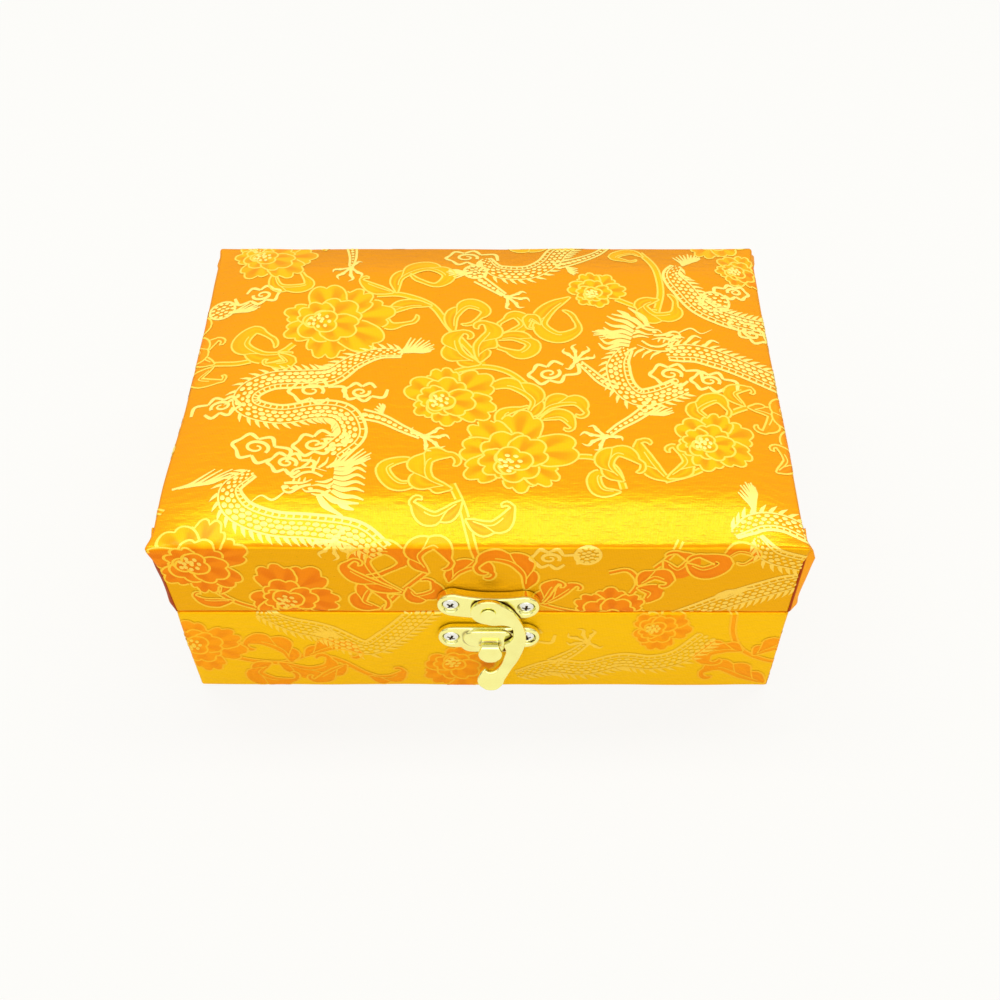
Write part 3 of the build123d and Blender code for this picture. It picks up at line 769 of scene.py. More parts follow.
def float_tree():
    """Lays a thread along each curve: a low rounded ridge as wide as the curve's own radius."""
    tree, given = socket_tree("thread_float", [("Rise", "NodeSocketFloat"), ("Finish", "NodeSocketMaterial")])
    start = given["Geometry"]
    bar = start.node("GeometryNodeCurvePrimitiveLine", None, {"Start": (-1, 0, 0), "End": (1, 0, 0)})
    bar = bar.node("GeometryNodeResampleCurve", {"mode": "COUNT"}, {"Curve": bar, "Count": 4})
    across = bar.node("ShaderNodeSeparateXYZ", None, {0: bar.node("GeometryNodeInputPosition")})
    height = (across * across - 1) * given["Rise"]
    offset = height.node("ShaderNodeCombineXYZ", None, {"Y": height})
    ridge = bar.node("GeometryNodeSetPosition", None, {"Geometry": bar, "Offset": offset})
    upright = start.node("GeometryNodeSetCurveNormal", {"mode": "Z_UP"}, {"Curve": start})
    width = start.node("GeometryNodeInputRadius")
    inputs = {"Curve": upright, "Profile Curve": ridge, "Scale": width}
    close_tree(tree, upright.node("GeometryNodeCurveToMesh", None, inputs), given["Finish"])
    return tree


def scale_tree():
    """Sets one small domed scale on each point, turned and sized by the point's own values."""
    sockets = [("Length", "NodeSocketFloat"), ("Rise", "NodeSocketFloat"), ("Finish", "NodeSocketMaterial")]
    tree, given = socket_tree("dragon_scale", sockets)
    start = given["Geometry"]
    inputs = {"Vertices": 8, "Radius Top": 0.5, "Radius Bottom": 1.0, "Depth": given["Rise"]}
    dome = start.node("GeometryNodeMeshCone", {"fill_type": "TRIANGLE_FAN"}, inputs)
    heading = start.node("GeometryNodeInputNamedAttribute", {"data_type": "FLOAT"}, {"Name": "heading"})
    size = start.node("GeometryNodeInputNamedAttribute", {"data_type": "FLOAT"}, {"Name": "size"})
    turn = heading.node("ShaderNodeCombineXYZ", None, {"Z": heading})
    spread = size.node("ShaderNodeCombineXYZ", None, {"X": size * given["Length"], "Y": size, "Z": 1.0})
    inputs = {"Points": start, "Instance": dome, "Rotation": turn, "Scale": spread}
    close_tree(tree, dome.node("GeometryNodeInstanceOnPoints", None, inputs), given["Finish"])
    return tree


floats, scales = float_tree(), scale_tree()


def thread_mesh(lines, finish):
    """All floats of one thread as one flat mesh."""
    curve = bpy.data.curves.new("floats", "CURVE")
    curve.dimensions = "3D"
    for points, widths, level in lines:
        spline = curve.splines.new("POLY")
        spline.points.add(len(points) - 1)
        places = np.column_stack([points, np.full((len(points), 1), level), np.ones(len(points))])
        spline.points.foreach_set("co", places.ravel())
        spline.points.foreach_set("radius", np.asarray(widths, float))
    values = {"Rise": thread_rise, "Finish": finish}
    return run_tree(bpy.data.objects.new("floats", curve), floats, values)


def scale_mesh(places, finish):
    """All scales of one sheet as one flat mesh."""
    table = np.array(places)
    mesh = bpy.data.meshes.new("scales")
    mesh.from_pydata(table[:, :3].tolist(), [], [])
    for name, column in (("heading", 3), ("size", 4)):
        keep(mesh, name, table[:, column])
    values = {"Length": scale_length, "Rise": scale_rise, "Finish": finish}
    return run_tree(bpy.data.objects.new("scales", mesh), scales, values)


def fill_mesh(fills, finish):
    """All filled patches as one flat mesh, with their streaks as an attribute."""
    points, faces, veins, start = [], [], [], 0
    for grid, level, vein in fills:
        rows, columns = grid.shape[:2]
        points.append(np.column_stack([grid.reshape(-1, 2), np.full(rows * columns, level)]))
        faces.append(grid_faces(rows, columns, start))
        veins.append(np.asarray(vein, float).ravel())
        start += rows * columns
    mesh = bpy.data.meshes.new("fills")
    mesh.from_pydata(np.vstack(points).tolist(), [], np.vstack(faces).tolist())
    keep(mesh, "vein", np.concatenate(veins))
    mesh.materials.append(finish)
    return mesh


def woven(name, tray, meshes, body):
    """Joins flat figures, creases them at the tray's edges, and lays them on its cloth."""
    form = bmesh.new()
    for mesh in meshes:
        form.from_mesh(mesh)
    for axis, half in enumerate(tray.half):
        square = [0.0, 0.0, 0.0]
        square[axis] = 1.0
        for side in (1, -1):
            for crease in creases:
                spot = [0.0, 0.0, 0.0]
                spot[axis] = side * (half + crease)
                geometry = form.verts[:] + form.edges[:] + form.faces[:]
                bmesh.ops.bisect_plane(form, geom=geometry, plane_co=spot, plane_no=square, dist=1e-5)
    reach = tray.run[0][-2] - 0.2
    lost = []
    for face in form.faces:
        x, y = face.calc_center_median()[:2]
        past = [abs(x) - tray.half[0], abs(y) - tray.half[1]]
        if min(past) > 0 or max(past) > reach:
            lost.append(face)
    bmesh.ops.delete(form, geom=lost, context="FACES")
    loose = [edge for edge in form.edges if not edge.link_faces]
    bmesh.ops.delete(form, geom=loose, context="EDGES")
    bmesh.ops.delete(form, geom=[v for v in form.verts if not v.link_faces], context="VERTS")
    for face in form.faces:
        if (face.normal.z < 0) == (tray.opens < 0):
            face.normal_flip()
        face.smooth = True
    mesh = bpy.data.meshes.new(name)
    form.to_mesh(mesh)
    form.free()
    flat = points_of(mesh)
    keep(mesh, "flat", flat * (mm, mm, 0))
    mesh.vertices.foreach_set("co", tray.lay(flat[:, :2], flat[:, 2]).ravel())
    mesh.materials.clear()
    mesh.materials.append(meshes[0].materials[0])
    mesh.update()
    piece = new_object(name, mesh)
    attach(piece, body)
    return piece


def weave(prefix, tray, loom, body, threads):
    """The woven figures of one half: fills, their outlines, and the dragons."""
    fill, outline, dragon = threads
    fills = woven(f"{prefix}_flower_fills", tray, [fill_mesh(loom.settle(), fill)], body)
    edges = woven(f"{prefix}_flower_outlines", tray, [thread_mesh(loom.lines["outline"], outline)], body)
    bright = [thread_mesh(loom.lines["dragon"], dragon), scale_mesh(loom.scales, dragon)]
    return [fills, edges, woven(f"{prefix}_dragons", tray, bright, body)]


def flaps(tray):
    """Turn, shift and half length that carry the front flap's figures to each of the four flaps."""
    gap = tray.half[0] - tray.half[1]
    places = []
    for quarter, (c, s, shift) in enumerate(((1, 0, 0), (0, 1, gap), (-1, 0, 0), (0, -1, -gap))):
        turn = np.array([[c, -s], [s, c]], float)
        places.append((turn, np.array([shift, 0.0]), float(tray.half[quarter % 2])))
    return places


base_loom = Loom(3)
base_wall_figures = (
    ("flower", [(-81, 20)], 12.5, 20),
    ("stem", [(-74, 15), (-66, 12.5), (-58, 12), (-50, 16), (-42, 13), (-34, 6), (-26, 3)], 1.7),
    ("leaf", [(-56, 12), (-57, 18), (-62, 22), (-67, 22)], 5.4),
    ("leaf", [(-52, 15), (-46, 19), (-41, 20), (-36, 17)], 4.6),
    ("leaf", [(-60, 12), (-52, 8), (-46, 10), (-45, 14)], 5.0, 3),
    ("leaf", [(-62, 12), (-67, 7), (-63, 3), (-57, 3)], 5.0),
    ("leaf", [(-40, 11), (-46, 6), (-50, 3)], 4.0, 2),
    ("leaf", [(-34, 5), (-28, 4), (-24, 7)], 4.0, 2),
    ("serpent", [(-62, 36), (-54, 30), (-44, 26), (-34, 19), (-27, 24), (-19, 33), (-14, 40)], 6.8),
    ("tuft", [(-40, 24)], 200, 9),
    ("flower", [(-8, 10)], 10.5, 70, 5),
    ("cloud", [(12, 24)], 5.5, 10),
    ("serpent", [(10, 6), (20, 10), (30, 9), (40, 13), (49, 12), (57, 15), (64, 24)], 6.8),
    ("leg", [(20, 12), (26, 17), (30, 22)]),
    ("claw", [(30, 22)], -120),
    ("flower", [(50, 28)], 9, 10, 5),
    ("stem", [(70, 36), (71, 26), (75, 18), (84, 13), (92, 14)], 1.7),
    ("leaf", [(75, 18), (70, 19), (65, 17), (65, 13)], 5.4),
    ("leaf", [(78, 16), (83, 20), (88, 19)], 5.0),
    ("leaf", [(84, 2), (77, 6), (70, 10), (65, 8)], 5.6, 3),
    ("leaf", [(84, 2), (88, 6), (86, 11)], 4.4, 2),
)
for base_loom.turn, base_loom.shift, base_loom.span in flaps(base_tray):
    base_loom.draw(base_wall_figures, -base_tray.half[1], -1)


def silk_threads(prefix, fill, streak_and_shade, outline, dragon):
    """The three bright threads, each given a lit colour for the top and a shaded colour for the walls, as
    painted light.
    """
    return (
        brocade(f"{prefix}_fill_silk", *fill, 0.5, 0.25, streak_and_shade, 0.7),
        brocade(f"{prefix}_outline_silk", *outline, 0.4, 0.3, None, 0.5),
        brocade(f"{prefix}_dragon_silk", *dragon, 0.36, 0.3, None, 0.5),
    )


base_threads = silk_threads(
    "base",
    (colour(255, 198, 16), colour(247, 162, 10)),
    (colour(250, 160, 10), colour(240, 148, 8)),
    (colour(255, 226, 92), colour(249, 190, 40)),
    (colour(255, 240, 130), colour(248, 206, 70)),
)
base_figures = weave("base", base_tray, base_loom, "base", base_threads)


# Underside paper.
# A sheet of cream paper pasted under the floor, over the turned-in edges of the cloth.
def pasted_paper():
    """Cream paper with faint fibres and a soft mottle."""
    finish, shader, place = blank("underside_paper", 0.75)
    fibre = place.noise(1500, 3, (1, 5, 1))
    mottle = place.noise(90) * 0.6 + fibre * 0.4
    mottle.mix(colour(214, 200, 158), colour(240, 230, 198)).link(shader, "Base Color")
    fibre.bump(0.00006, 0.5).link(shader, "Normal")
    return finish


finish_nodes(pasted_paper(), "underside_paper")


# Base linings.
# Four cards covered in plain gold satin stand inside the walls, a little below the rim.
def satin(name, low, high):
    """Plain satin: smooth weft floats with a soft gloss and a few pulled threads."""
    finish, shader, place = blank(name, 0.34, 0.35)
    shader.inputs["Specular Tint"].default_value = colour(255, 220, 140)
    thread = place.noise(2600, 2, (0.12, 1, 1))
    sheen = place.noise(45, 2)
    (thread * 0.5 + sheen * 0.5).mix(low, high).link(shader, "Base Color")
    (thread * 0.14 + 0.27).link(shader, "Roughness")
    thread.bump(0.00004, 0.5).link(shader, "Normal")
    return finish


lining_satin = satin("lining_satin", colour(214, 148, 24), colour(244, 190, 52))
finish_nodes(lining_satin, *[f"base_lining_{side}" for side in sides])


# Base pad.
# A sheet of sponge under loose gold satin, tucked in below its edges, lies on the floor of the box.
pad_satin = satin("pad_satin", colour(224, 160, 30), colour(250, 202, 66))
pad_pitch, pad_swell, pad_frames = 2.4, 1.5, 18
pad_pressure, seam_straight = 4.0, 0.75


def merged_copy(name, node):
    """Own copy of a construction piece, with its loose triangles joined."""
    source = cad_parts[node]
    mesh = source.data.copy()
    mesh.transform(source.matrix_world)
    mesh.name = name
    weld(mesh, 0.000001)
    return new_object(name, mesh)


def dressed(piece, finish):
    """Gives the piece one material and smooth shading."""
    piece.data.materials.clear()
    piece.data.materials.append(finish)
    piece.data.shade_smooth()
    return piece


def satin_bag(name, node):
    """Closed bag of even quads round a pad's sponge. Its seams are drawn in less than the sponge's sides."""
    low, high = corners(node)
    steps = [np.linspace(a, b, round((b - a) / pad_pitch) + 1) * mm for a, b in zip(low, high)]
    points, faces, start = [], [], 0
    for axis in range(3):
        one, other = (axis + 1) % 3, (axis + 2) % 3
        x, y = np.meshgrid(steps[one], steps[other])
        quads = grid_faces(*x.shape)
        for place, turned in ((steps[axis][0], quads[:, ::-1]), (steps[axis][-1], quads)):
            patch = np.full((x.size, 3), place)
            patch[:, one], patch[:, other] = x.ravel(), y.ravel()
            points.append(patch)
            faces.append(turned + start)
            start += x.size
    piece = solid_of(name, np.vstack(points), np.vstack(faces), pad_satin)
    weld(piece.data, 0.00001)
    straight = points_of(piece.data)
    sponge = merged_copy("sponge", node)
    cling = piece.modifiers.new("cling", "SHRINKWRAP")
    cling.target, cling.wrap_method = sponge, "NEAREST_SURFACEPOINT"
    applied(piece)
    bpy.data.objects.remove(sponge)
    drawn = points_of(piece.data)
    drawn[:, :2] = (1 - seam_straight) * drawn[:, :2] + seam_straight * straight[:, :2]
    piece.data.vertices.foreach_set("co", drawn.ravel())
    return piece, drawn


def stuffed(name, node, body, crown_up):
    """A satin pad: the sponge's form, puffed up by cloth simulation and wrinkled towards its corners."""
    piece, start = satin_bag(name, node)
    puff = piece.modifiers.new("puff", "CLOTH")
    puff.settings.use_pressure, puff.settings.uniform_pressure_force = True, pad_pressure
    puff.settings.effector_weights.gravity = 0
    puff.point_cache.frame_start, puff.point_cache.frame_end = 1, pad_frames
    for frame_number in range(1, pad_frames + 1):
        bpy.context.scene.frame_set(frame_number)
    applied(piece)
    bpy.context.scene.frame_set(1)
    move = points_of(piece.data) - start
    move *= pad_swell * mm / max(pad_swell * mm, np.linalg.norm(move, axis=1).max())
    low, high = start.min(axis=0), start.max(axis=0)
    middle, half = (low + high) / 2, (high - low) / 2
    place = (start - middle) / half
    open_side = (place[:, 2] if crown_up else -place[:, 2]).clip(0, 1)
    corner = np.clip(np.abs(place[:, 0]) * np.abs(place[:, 1]) * 1.4 - 0.35, 0, 1)
    crease = np.sin((np.abs(start[:, 0]) - np.abs(start[:, 1])) / (2.3 * mm)) * corner
    slack = np.sin(start[:, 0] / (17 * mm) + 2 * np.sin(start[:, 1] / (23 * mm)))
    lift = open_side * (0.45 * crease + 0.25 * slack) * mm
    lift *= 1 if crown_up else -1
    finished = start + move * (0.2, 0.2, 1) + np.column_stack([0 * lift, 0 * lift, lift])
    finished = np.clip(finished, low, high)
    piece.data.vertices.foreach_set("co", finished.ravel())
    piece.data.update()
    fine = piece.modifiers.new("fine", "SUBSURF")
    fine.levels = fine.render_levels = 1
    applied(piece)
    dressed(piece, pad_satin)
    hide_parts(node)
    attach(piece, body)


stuffed("base_satin_pad", "base_cushion", "base", True)


# Keeper plate.
# A thin brass plate, stamped with a raised belly and a bent tongue that the hook catches. Two cross-head
# screws hold it to the front wall.
metal_voxel = 0.17
hollow_reach, hollow_blur = 14, 3


def bright_brass(name, tone, roughness):
    """Polished plated brass: a clear mirror with faint cloudy wear, and painted shade, dark brown, in its
    hollows and along the wall.
    """
    finish, shader, place = blank(name, roughness, 1.0)
    cloud = place.noise(260, 4)
    hair = place.noise(2400, 2, (1, 1, 0.06))
    wave = place.noise(420, 2, (0.3, 1, 1))
    hollow = place.own("hollow")
    worn = tuple(channel * share for channel, share in zip(tone, (0.94, 0.87, 0.74, 1)))
    # Painted shade: dark brown in the hollows and where the plate meets the wall.
    hollow.mix(cloud.mix(tone, worn), colour(112, 74, 10)).link(shader, "Base Color")
    (cloud * 0.1 + hair * 0.06 + (roughness - 0.08)).link(shader, "Roughness")
    (hair * 0.4 + cloud * 0.6 + wave * 5).bump(0.00003, 0.4).link(shader, "Normal")
    return finish


def hollows(mesh, wall_side):
    """How deep each place of a mesh lies in a hollow or against the wall, from 0 to 1: the mask of the
    brass's painted shade.
    """
    count = len(mesh.vertices)
    places, normals, ends = points_of(mesh), np.empty(count * 3), np.empty(len(mesh.edges) * 2, int)
    mesh.vertices.foreach_get("normal", normals)
    mesh.edges.foreach_get("vertices", ends)
    normals = normals.reshape(-1, 3)
    one, other = ends.reshape(-1, 2).T
    number = np.bincount(ends, minlength=count)[:, None]

    def spread(values):
        total = np.zeros_like(values)
        np.add.at(total, one, values[other])
        np.add.at(total, other, values[one])
        return total / number

    wide = places
    for _ in range(hollow_reach):
        wide = spread(wide)
    depth = ((wide - places) * normals).sum(axis=1, keepdims=True) / mm
    for _ in range(hollow_blur):
        depth = spread(depth)
    off_wall = (places[:, 1] * wall_side).max() - places[:, 1] * wall_side
    against = np.clip(1.3 - off_wall / (0.4 * mm), 0, 1)
    return np.clip(np.maximum(depth.ravel() / 0.1 - 0.15, against), 0, 1)


def cast(name, node, finish, body, soften=18, wall_side=1):
    """A metal piece with the softly rounded edges that stamping and polishing leave."""
    piece = merged_copy(name, node)
    melt = piece.modifiers.new("melt", "REMESH")
    melt.mode, melt.voxel_size = "VOXEL", metal_voxel * mm
    polish = piece.modifiers.new("polish", "SMOOTH")
    polish.factor, polish.iterations = 0.5, soften
    applied(piece)
    dressed(piece, finish)
    keep(piece.data, "hollow", hollows(piece.data, wall_side))
    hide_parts(node)
    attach(piece, body)


latch_brass = bright_brass("latch_brass", colour(255, 253, 166), 0.17)
cast("keeper_plate_stamped", "keeper_plate", latch_brass, "base")


# Keeper screws.
# Two nickel-plated countersunk screws with a cross recess, driven through the plate into the board.
def screw_mesh(radius, head_height, length, shank):
    """A lathe-turned screw that points along +Y, its domed head towards -Y, with a cross-shaped recess."""
    around = 96
    angle = np.linspace(0, 2 * math.pi, around, endpoint=False)
    blade, reach, wall = 0.17 * radius, 0.56 * radius, 0.09 * radius
    dome, recess = 0.62 * head_height, 1.3 * head_height
    rows, dirt = [], []
    for share in np.r_[np.linspace(0.02, 0.7, 30), np.linspace(0.74, 0.98, 8)]:
        x, z = share * radius * np.cos(angle), share * radius * np.sin(angle)
        arms = []
        for a, b in ((x, z), (z, x)):
            arms.append(np.clip((blade - np.abs(a)) / wall, 0, 1) * np.clip((reach - np.abs(b)) / wall, 0, 1))
        cut = np.maximum(*arms) * (1 - 0.5 * share / 0.6)
        rows.append(np.column_stack([x, cut * recess - dome * (1 - share**2), z]))
        # Mask of the painted shade in the recess.
        dirt.append(np.clip(cut * 2, 0, 1))
    neck = shank / radius
    for share, depth in ((1, 0.06), (1, 0.3), (neck, 1), (neck, 0.9 * length / head_height)):
        x, z = share * radius * np.cos(angle), share * radius * np.sin(angle)
        rows.append(np.column_stack([x, 0 * angle + depth * head_height, z]))
        dirt.append(0 * angle)
    rows.append(np.column_stack([0.1 * np.cos(angle), 0 * angle + length, 0.1 * np.sin(angle)]))
    dirt.append(0 * angle)
    faces = grid_faces(len(rows), around).tolist()
    for row in range(len(rows) - 1):
        start = row * around
        faces.append([start + around - 1, start, start + around, start + 2 * around - 1])
    faces += [list(range(around))[::-1], list(range((len(rows) - 1) * around, len(rows) * around))]
    mesh = bpy.data.meshes.new("screw")
    mesh.from_pydata((np.vstack(rows) * mm).tolist(), [], faces)
    keep(mesh, "dirt", np.concatenate(dirt))
    form = bmesh.new()
    form.from_mesh(mesh)
    bmesh.ops.recalc_face_normals(form, faces=form.faces)
    form.to_mesh(mesh)
    form.free()
    return bpy.data.objects.new("screw", mesh)


def seat_tree():
    """Seats a copy of one screw on each point, turned about its own axis and faced as the point says."""
    sockets = [("Screw", "NodeSocketObject"), ("Finish", "NodeSocketMaterial")]
    tree, given = socket_tree("screw_seats", sockets)
    start = given["Geometry"]
    shape = start.node("GeometryNodeObjectInfo", None, {"Object": given["Screw"]}, "Geometry")
    facing = start.node("GeometryNodeInputNamedAttribute", {"data_type": "FLOAT_VECTOR"}, {"Name": "facing"})
    inputs = {"Points": start, "Instance": shape, "Rotation": facing}
    close_tree(tree, shape.node("GeometryNodeInstanceOnPoints", None, inputs), given["Finish"])
    return tree


def screw_metal(name, low, high):
    """Plated steel with fine turning marks, and painted shade, dark brown, at the bottom of the recess."""
    finish, shader, place = blank(name, 0.24, 1.0)
    cloud = place.noise(700, 3)
    dirt = place.own("dirt")
    # Painted shade: dark brown in the cross recess.
    dirt.mix(cloud.mix(low, high), colour(96, 70, 22)).link(shader, "Base Color")
    (cloud * 0.14 + dirt * 0.4 + 0.17).link(shader, "Roughness")
    cloud.bump(0.00002, 0.3).link(shader, "Normal")
    return finish


screw_seats = seat_tree()
nickel = screw_metal("screw_nickel", colour(224, 222, 208), colour(252, 251, 244))


def screws(name, node, body, finish, places, sizes, back=False):
    """One set of like screws. Each place is a head's middle, and its turn in degrees."""
    mesh = bpy.data.meshes.new(name)
    mesh.from_pydata([(np.array(place) * mm).tolist() for place, _ in places], [], [])
    facing = [(0, math.radians(turn), math.pi if back else 0) for _, turn in places]
    keep(mesh, "facing", facing)
    shape = screw_mesh(*sizes)
    values = {"Screw": shape, "Finish": finish}
    made = run_tree(bpy.data.objects.new("seats", mesh), screw_seats, values)
    bpy.data.objects.remove(shape)
    made.name = name
    piece = new_object(name, made)
    made.shade_smooth()
    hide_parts(node)
    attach(piece, body)


latch_head, head_standoff, latch_screw = 2.1, 0.3, (2.1, 0.95, 5.2, 1.0)


def latch_screws(name, node, body, turns):
    """Two screws at the ends of a latch plate, found from the construction's own pair."""
    low, high = corners(node)
    left = (low[0] + latch_head, low[1] - head_standoff, high[2] - latch_head)
    right = (high[0] - latch_head, low[1] - head_standoff, low[2] + latch_head)
    screws(name, node, body, nickel, list(zip((left, right), turns)), latch_screw)


latch_screws("keeper_cross_screws", "keeper_screws", "base", (24, -12))


# Lid cloth.
# One sheet of the same brocade, stretched over a sponge sheet on the lid and down its four walls. Sponge
# makes the top swell a little, and folded cloth stands out at the corners in small ears.
finish_nodes(board, "lid_top_board", *[f"lid_{side}_board" for side in sides])
lid_ground = brocade("lid_brocade_ground", ground_top, ground_wall, 0.31, 0.55)
lid_tray = Tray("lid_brocade", "lid_front_board", -1, crown=3.0, ears=(1.6, 0.9, 0.6))
lid_cover = cover("lid_cloth", lid_tray, lid_ground, True)
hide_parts("lid_brocade", "lid_padding")
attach(lid_cover, "lid")

loom = Loom(7)
for middle, radius, turn, petals in (
    ((-46, 24), 16.5, 10, 7),
    ((-10, -10), 13, 35, 6),
    ((9, -33), 16, 70, 7),
    ((63, -28), 11, 20, 6),
    ((34, 38), 8.5, 50, 6),
    ((-68, 57), 13, 0, 6),
    ((80, 50), 9, 15, 6),
):
    loom.flower(middle, radius, turn, petals)
loom.stem([(-33, 36), (-25, 36), (-16, 31), (-10, 20), (-3, 9), (0, 4)], 1.8)
loom.stem([(-14, -3), (-8, 1), (0, 3), (8, 0), (14, -8), (16, -18)], 1.6)
loom.stem([(-56, 13), (-60, 9), (-70, 5), (-79, 6)], 1.6)
loom.stem([(52, 28), (54, 38), (53, 50), (49, 60)], 1.8)
loom.stem([(40, 34), (47, 30), (52, 28)], 1.5)
loom.stem([(22, -34), (30, -34), (36, -38), (38, -46)], 1.6)
loom.stem([(63, -36), (57, -40), (49, -43)], 1.5)
loom.stem([(66, -22), (69, -17), (75, -13)], 1.5)
loom.stem([(-8, -44), (-5, -52), (-3, -60), (-1, -68)], 1.8)
for points, width, lobes in (
    ([(-27, 37), (-26, 45), (-18, 50), (-12, 46), (-15, 41), (-20, 43)], 4.2, 3),
    ([(-28, 37), (-34, 40), (-38, 43)], 3.4, 1),
    ([(-16, 31), (-23, 31), (-30, 27), (-28, 22), (-22, 23)], 4.0, 2),
    ([(-9, 18), (-9, 26), (-5, 31), (0, 28), (-3, 23)], 3.8, 2),
    ([(-1, 4), (-7, 8), (-9, 14), (-7, 18)], 5.2, 3),
    ([(-1, 5), (-1, 12), (2, 18), (1, 22)], 5.2, 3),
    ([(2, 16), (8, 18), (12, 22), (9, 26), (5, 23)], 3.8, 2),
    ([(3, 15), (9, 16), (14, 13), (11, 9), (5, 11)], 4.0, 2),
    ([(26, 35), (20, 29), (17, 22), (22, 17), (28, 20), (27, 25)], 4.6, 2),
    ([(17, 22), (14, 25), (13, 21)], 2.4, 1),
    ([(53, 34), (48, 31), (51, 26), (57, 27), (58, 32)], 4.4, 3),
    ([(50, 57), (46, 60), (41, 57), (45, 54)], 3.0, 1),
    ([(-56, 9), (-65, 8), (-71, 13), (-68, 19), (-63, 16)], 4.6, 2),
    ([(-60, 9), (-57, 5), (-63, 4)], 2.8, 1),
    ([(-79, 6), (-84, 11), (-80, 17)], 4.2, 2),
    ([(-79, 5), (-83, 0), (-76, -2)], 3.2, 1),
    ([(-66, 47), (-63, 40), (-55, 41), (-57, 47)], 3.4, 2),
    ([(12, -19), (15, -11), (8, -5), (0, -7)], 4.4, 3),
    ([(13, -20), (8, -22), (6, -17), (12, -14)], 3.0, 1),
    ([(15, -18), (19, -13), (26, -12), (29, -16)], 4.2, 3),
    ([(16, -19), (22, -18), (25, -22)], 3.4, 1),
    ([(38, -43), (34, -37), (37, -32), (43, -36)], 4.4, 3),
    ([(37, -47), (32, -46), (31, -41), (35, -40)], 3.2, 1),
    ([(50, -43), (46, -37), (43, -29)], 4.6, 2),
    ([(50, -42), (56, -36), (53, -30)], 4.0, 2),
    ([(64, -20), (60, -15), (66, -11), (69, -15)], 3.8, 2),
    ([(74, -13), (71, -8), (76, -5)], 3.2, 1),
    ([(75, -13), (82, -15), (79, -22)], 4.2, 3),
    ([(-14, -42), (-22, -44), (-26, -38), (-20, -35), (-18, -39)], 3.2, 1),
    ([(-8, -46), (-15, -42), (-15, -35), (-9, -33)], 5.4, 4),
    ([(-5, -50), (-12, -55), (-18, -51)], 4.0, 2),
    ([(-4, -56), (3, -58), (8, -53)], 4.0, 2),
    ([(80, -38), (84, -33), (82, -28)], 3.6, 2),
):
    loom.leaf(points, width, lobes)
coil = [(-24, 9), (-31, 9), (-38, 5), (-44, -1), (-52, -2), (-61, -3), (-67, -8), (-66, -14)]
coil += [(-57, -17), (-46, -15), (-39, -17), (-36, -25), (-41, -32)]
loom.serpent(coil, 7.6, -1, (0.45, 0.9))
loom.tuft((-25, 9), 18, 11, 58, 11)
loom.leg([(-34, -17), (-28, -19), (-22, -23), (-17, -26)])
loom.tuft((-28, -17), 100, 4.5, 50, 5)
loom.claw((-16, -26), -10)
for middle, size, turn, mirror in (
    ((-49, -7), 6.5, 0, 1),
    ((-35, -8), 5.0, -10, -1),
    ((-74, -13), 5.5, 180, -1),
    ((-62, -30), 6.8, -15, 1),
    ((-46, -29), 6.0, 10, -1),
    ((-53, -36), 5.2, -5, 1),
    ((54, 0), 6.0, 0, 1),
    ((65, -3), 5.4, -8, 1),
    ((19, 0), 6.0, 10, -1),
    ((-68, 36), 5.5, 200, 1),
    ((80, 20), 5.0, 150, 1),
    ((77, 39), 4.4, 180, -1),
    ((-6, 57), 6.5, 5, 1),
):
    loom.cloud(middle, size, turn, mirror)
loom.head((-40, -42), 180, 9, 1)
loom.tuft((-42, -38), 25, 13, 34, 8)
loom.serpent([(-62, -40), (-67, -46), (-64, -53), (-55, -57), (-44, -58), (-33, -60), (-26, -66)], 7.4, -1)
loom.tuft((-82, -44), 18, 16, 16, 6)
loom.claw((-38, -62), -100)
loom.head((44, 16), -14, 9.5, 1)
loom.tuft((42, 17), 172, 10, 24, 7)
loom.serpent([(54, 9), (62, 9), (69, 6), (76, 3), (86, -1), (98, -4)], 7.6, 1, (0.8, 1))
for x, y in ((55, 14), (60, 14), (65, 12)):
    loom.line("dragon", flow([(x, y), (x + 2.2, y + 2.6), (x + 4.4, y + 1.6)], 0.6), 1.2, 0.08, (0.8, 0.3))
loom.serpent([(42, 11), (39, 4), (40, -5), (44, -10), (50, -9), (57, -5)], 7.0, -1)
loom.leg([(38, -6), (34, -3), (31, 1), (28, 5)], 3.2)
loom.claw((27, 6), 85)
loom.leg([(49, -12), (43, -18), (38, -22), (35, -25)])
loom.claw((34, -26), 200)
loom.tuft((45, -17), 12, 9, 30, 6)
loom.serpent([(60, 51), (58, 46), (61, 39), (65, 31), (71, 26), (79, 24), (88, 24)], 7.0, 1)
loom.haunch((70, 33), 4.6, 0)
loom.tuft((62, 51), 55, 9, 75, 11)
loom.serpent([(0, 56), (3, 49), (9, 47), (15, 48), (20, 53), (23, 60), (28, 68)], 7.0, -1)
loom.haunch((-3, 48), 3.6, 0)
loom.tuft((-4, 47), 175, 8, 40, 8)
loom.leg([(-2, 44), (2, 40), (6, 36)])
loom.claw((7, 35), -20)
loom.leg([(22, 51), (28, 54), (35, 59), (40, 66)])
loom.tuft((25, 51), -55, 6, 40, 6)
loom.leg([(-43, 64), (-42, 57), (-42, 51)], 3.0)
loom.claw((-42, 50), -95)
loom.haunch((-80, 31), 4.0, 0)
loom.tuft((-78, 29), 10, 10, 26, 7)
loom.tuft((72, -54), 95, 11, 30, 9)
loom.serpent([(66, -60), (73, -56), (80, -56), (87, -60)], 5.6, 1)
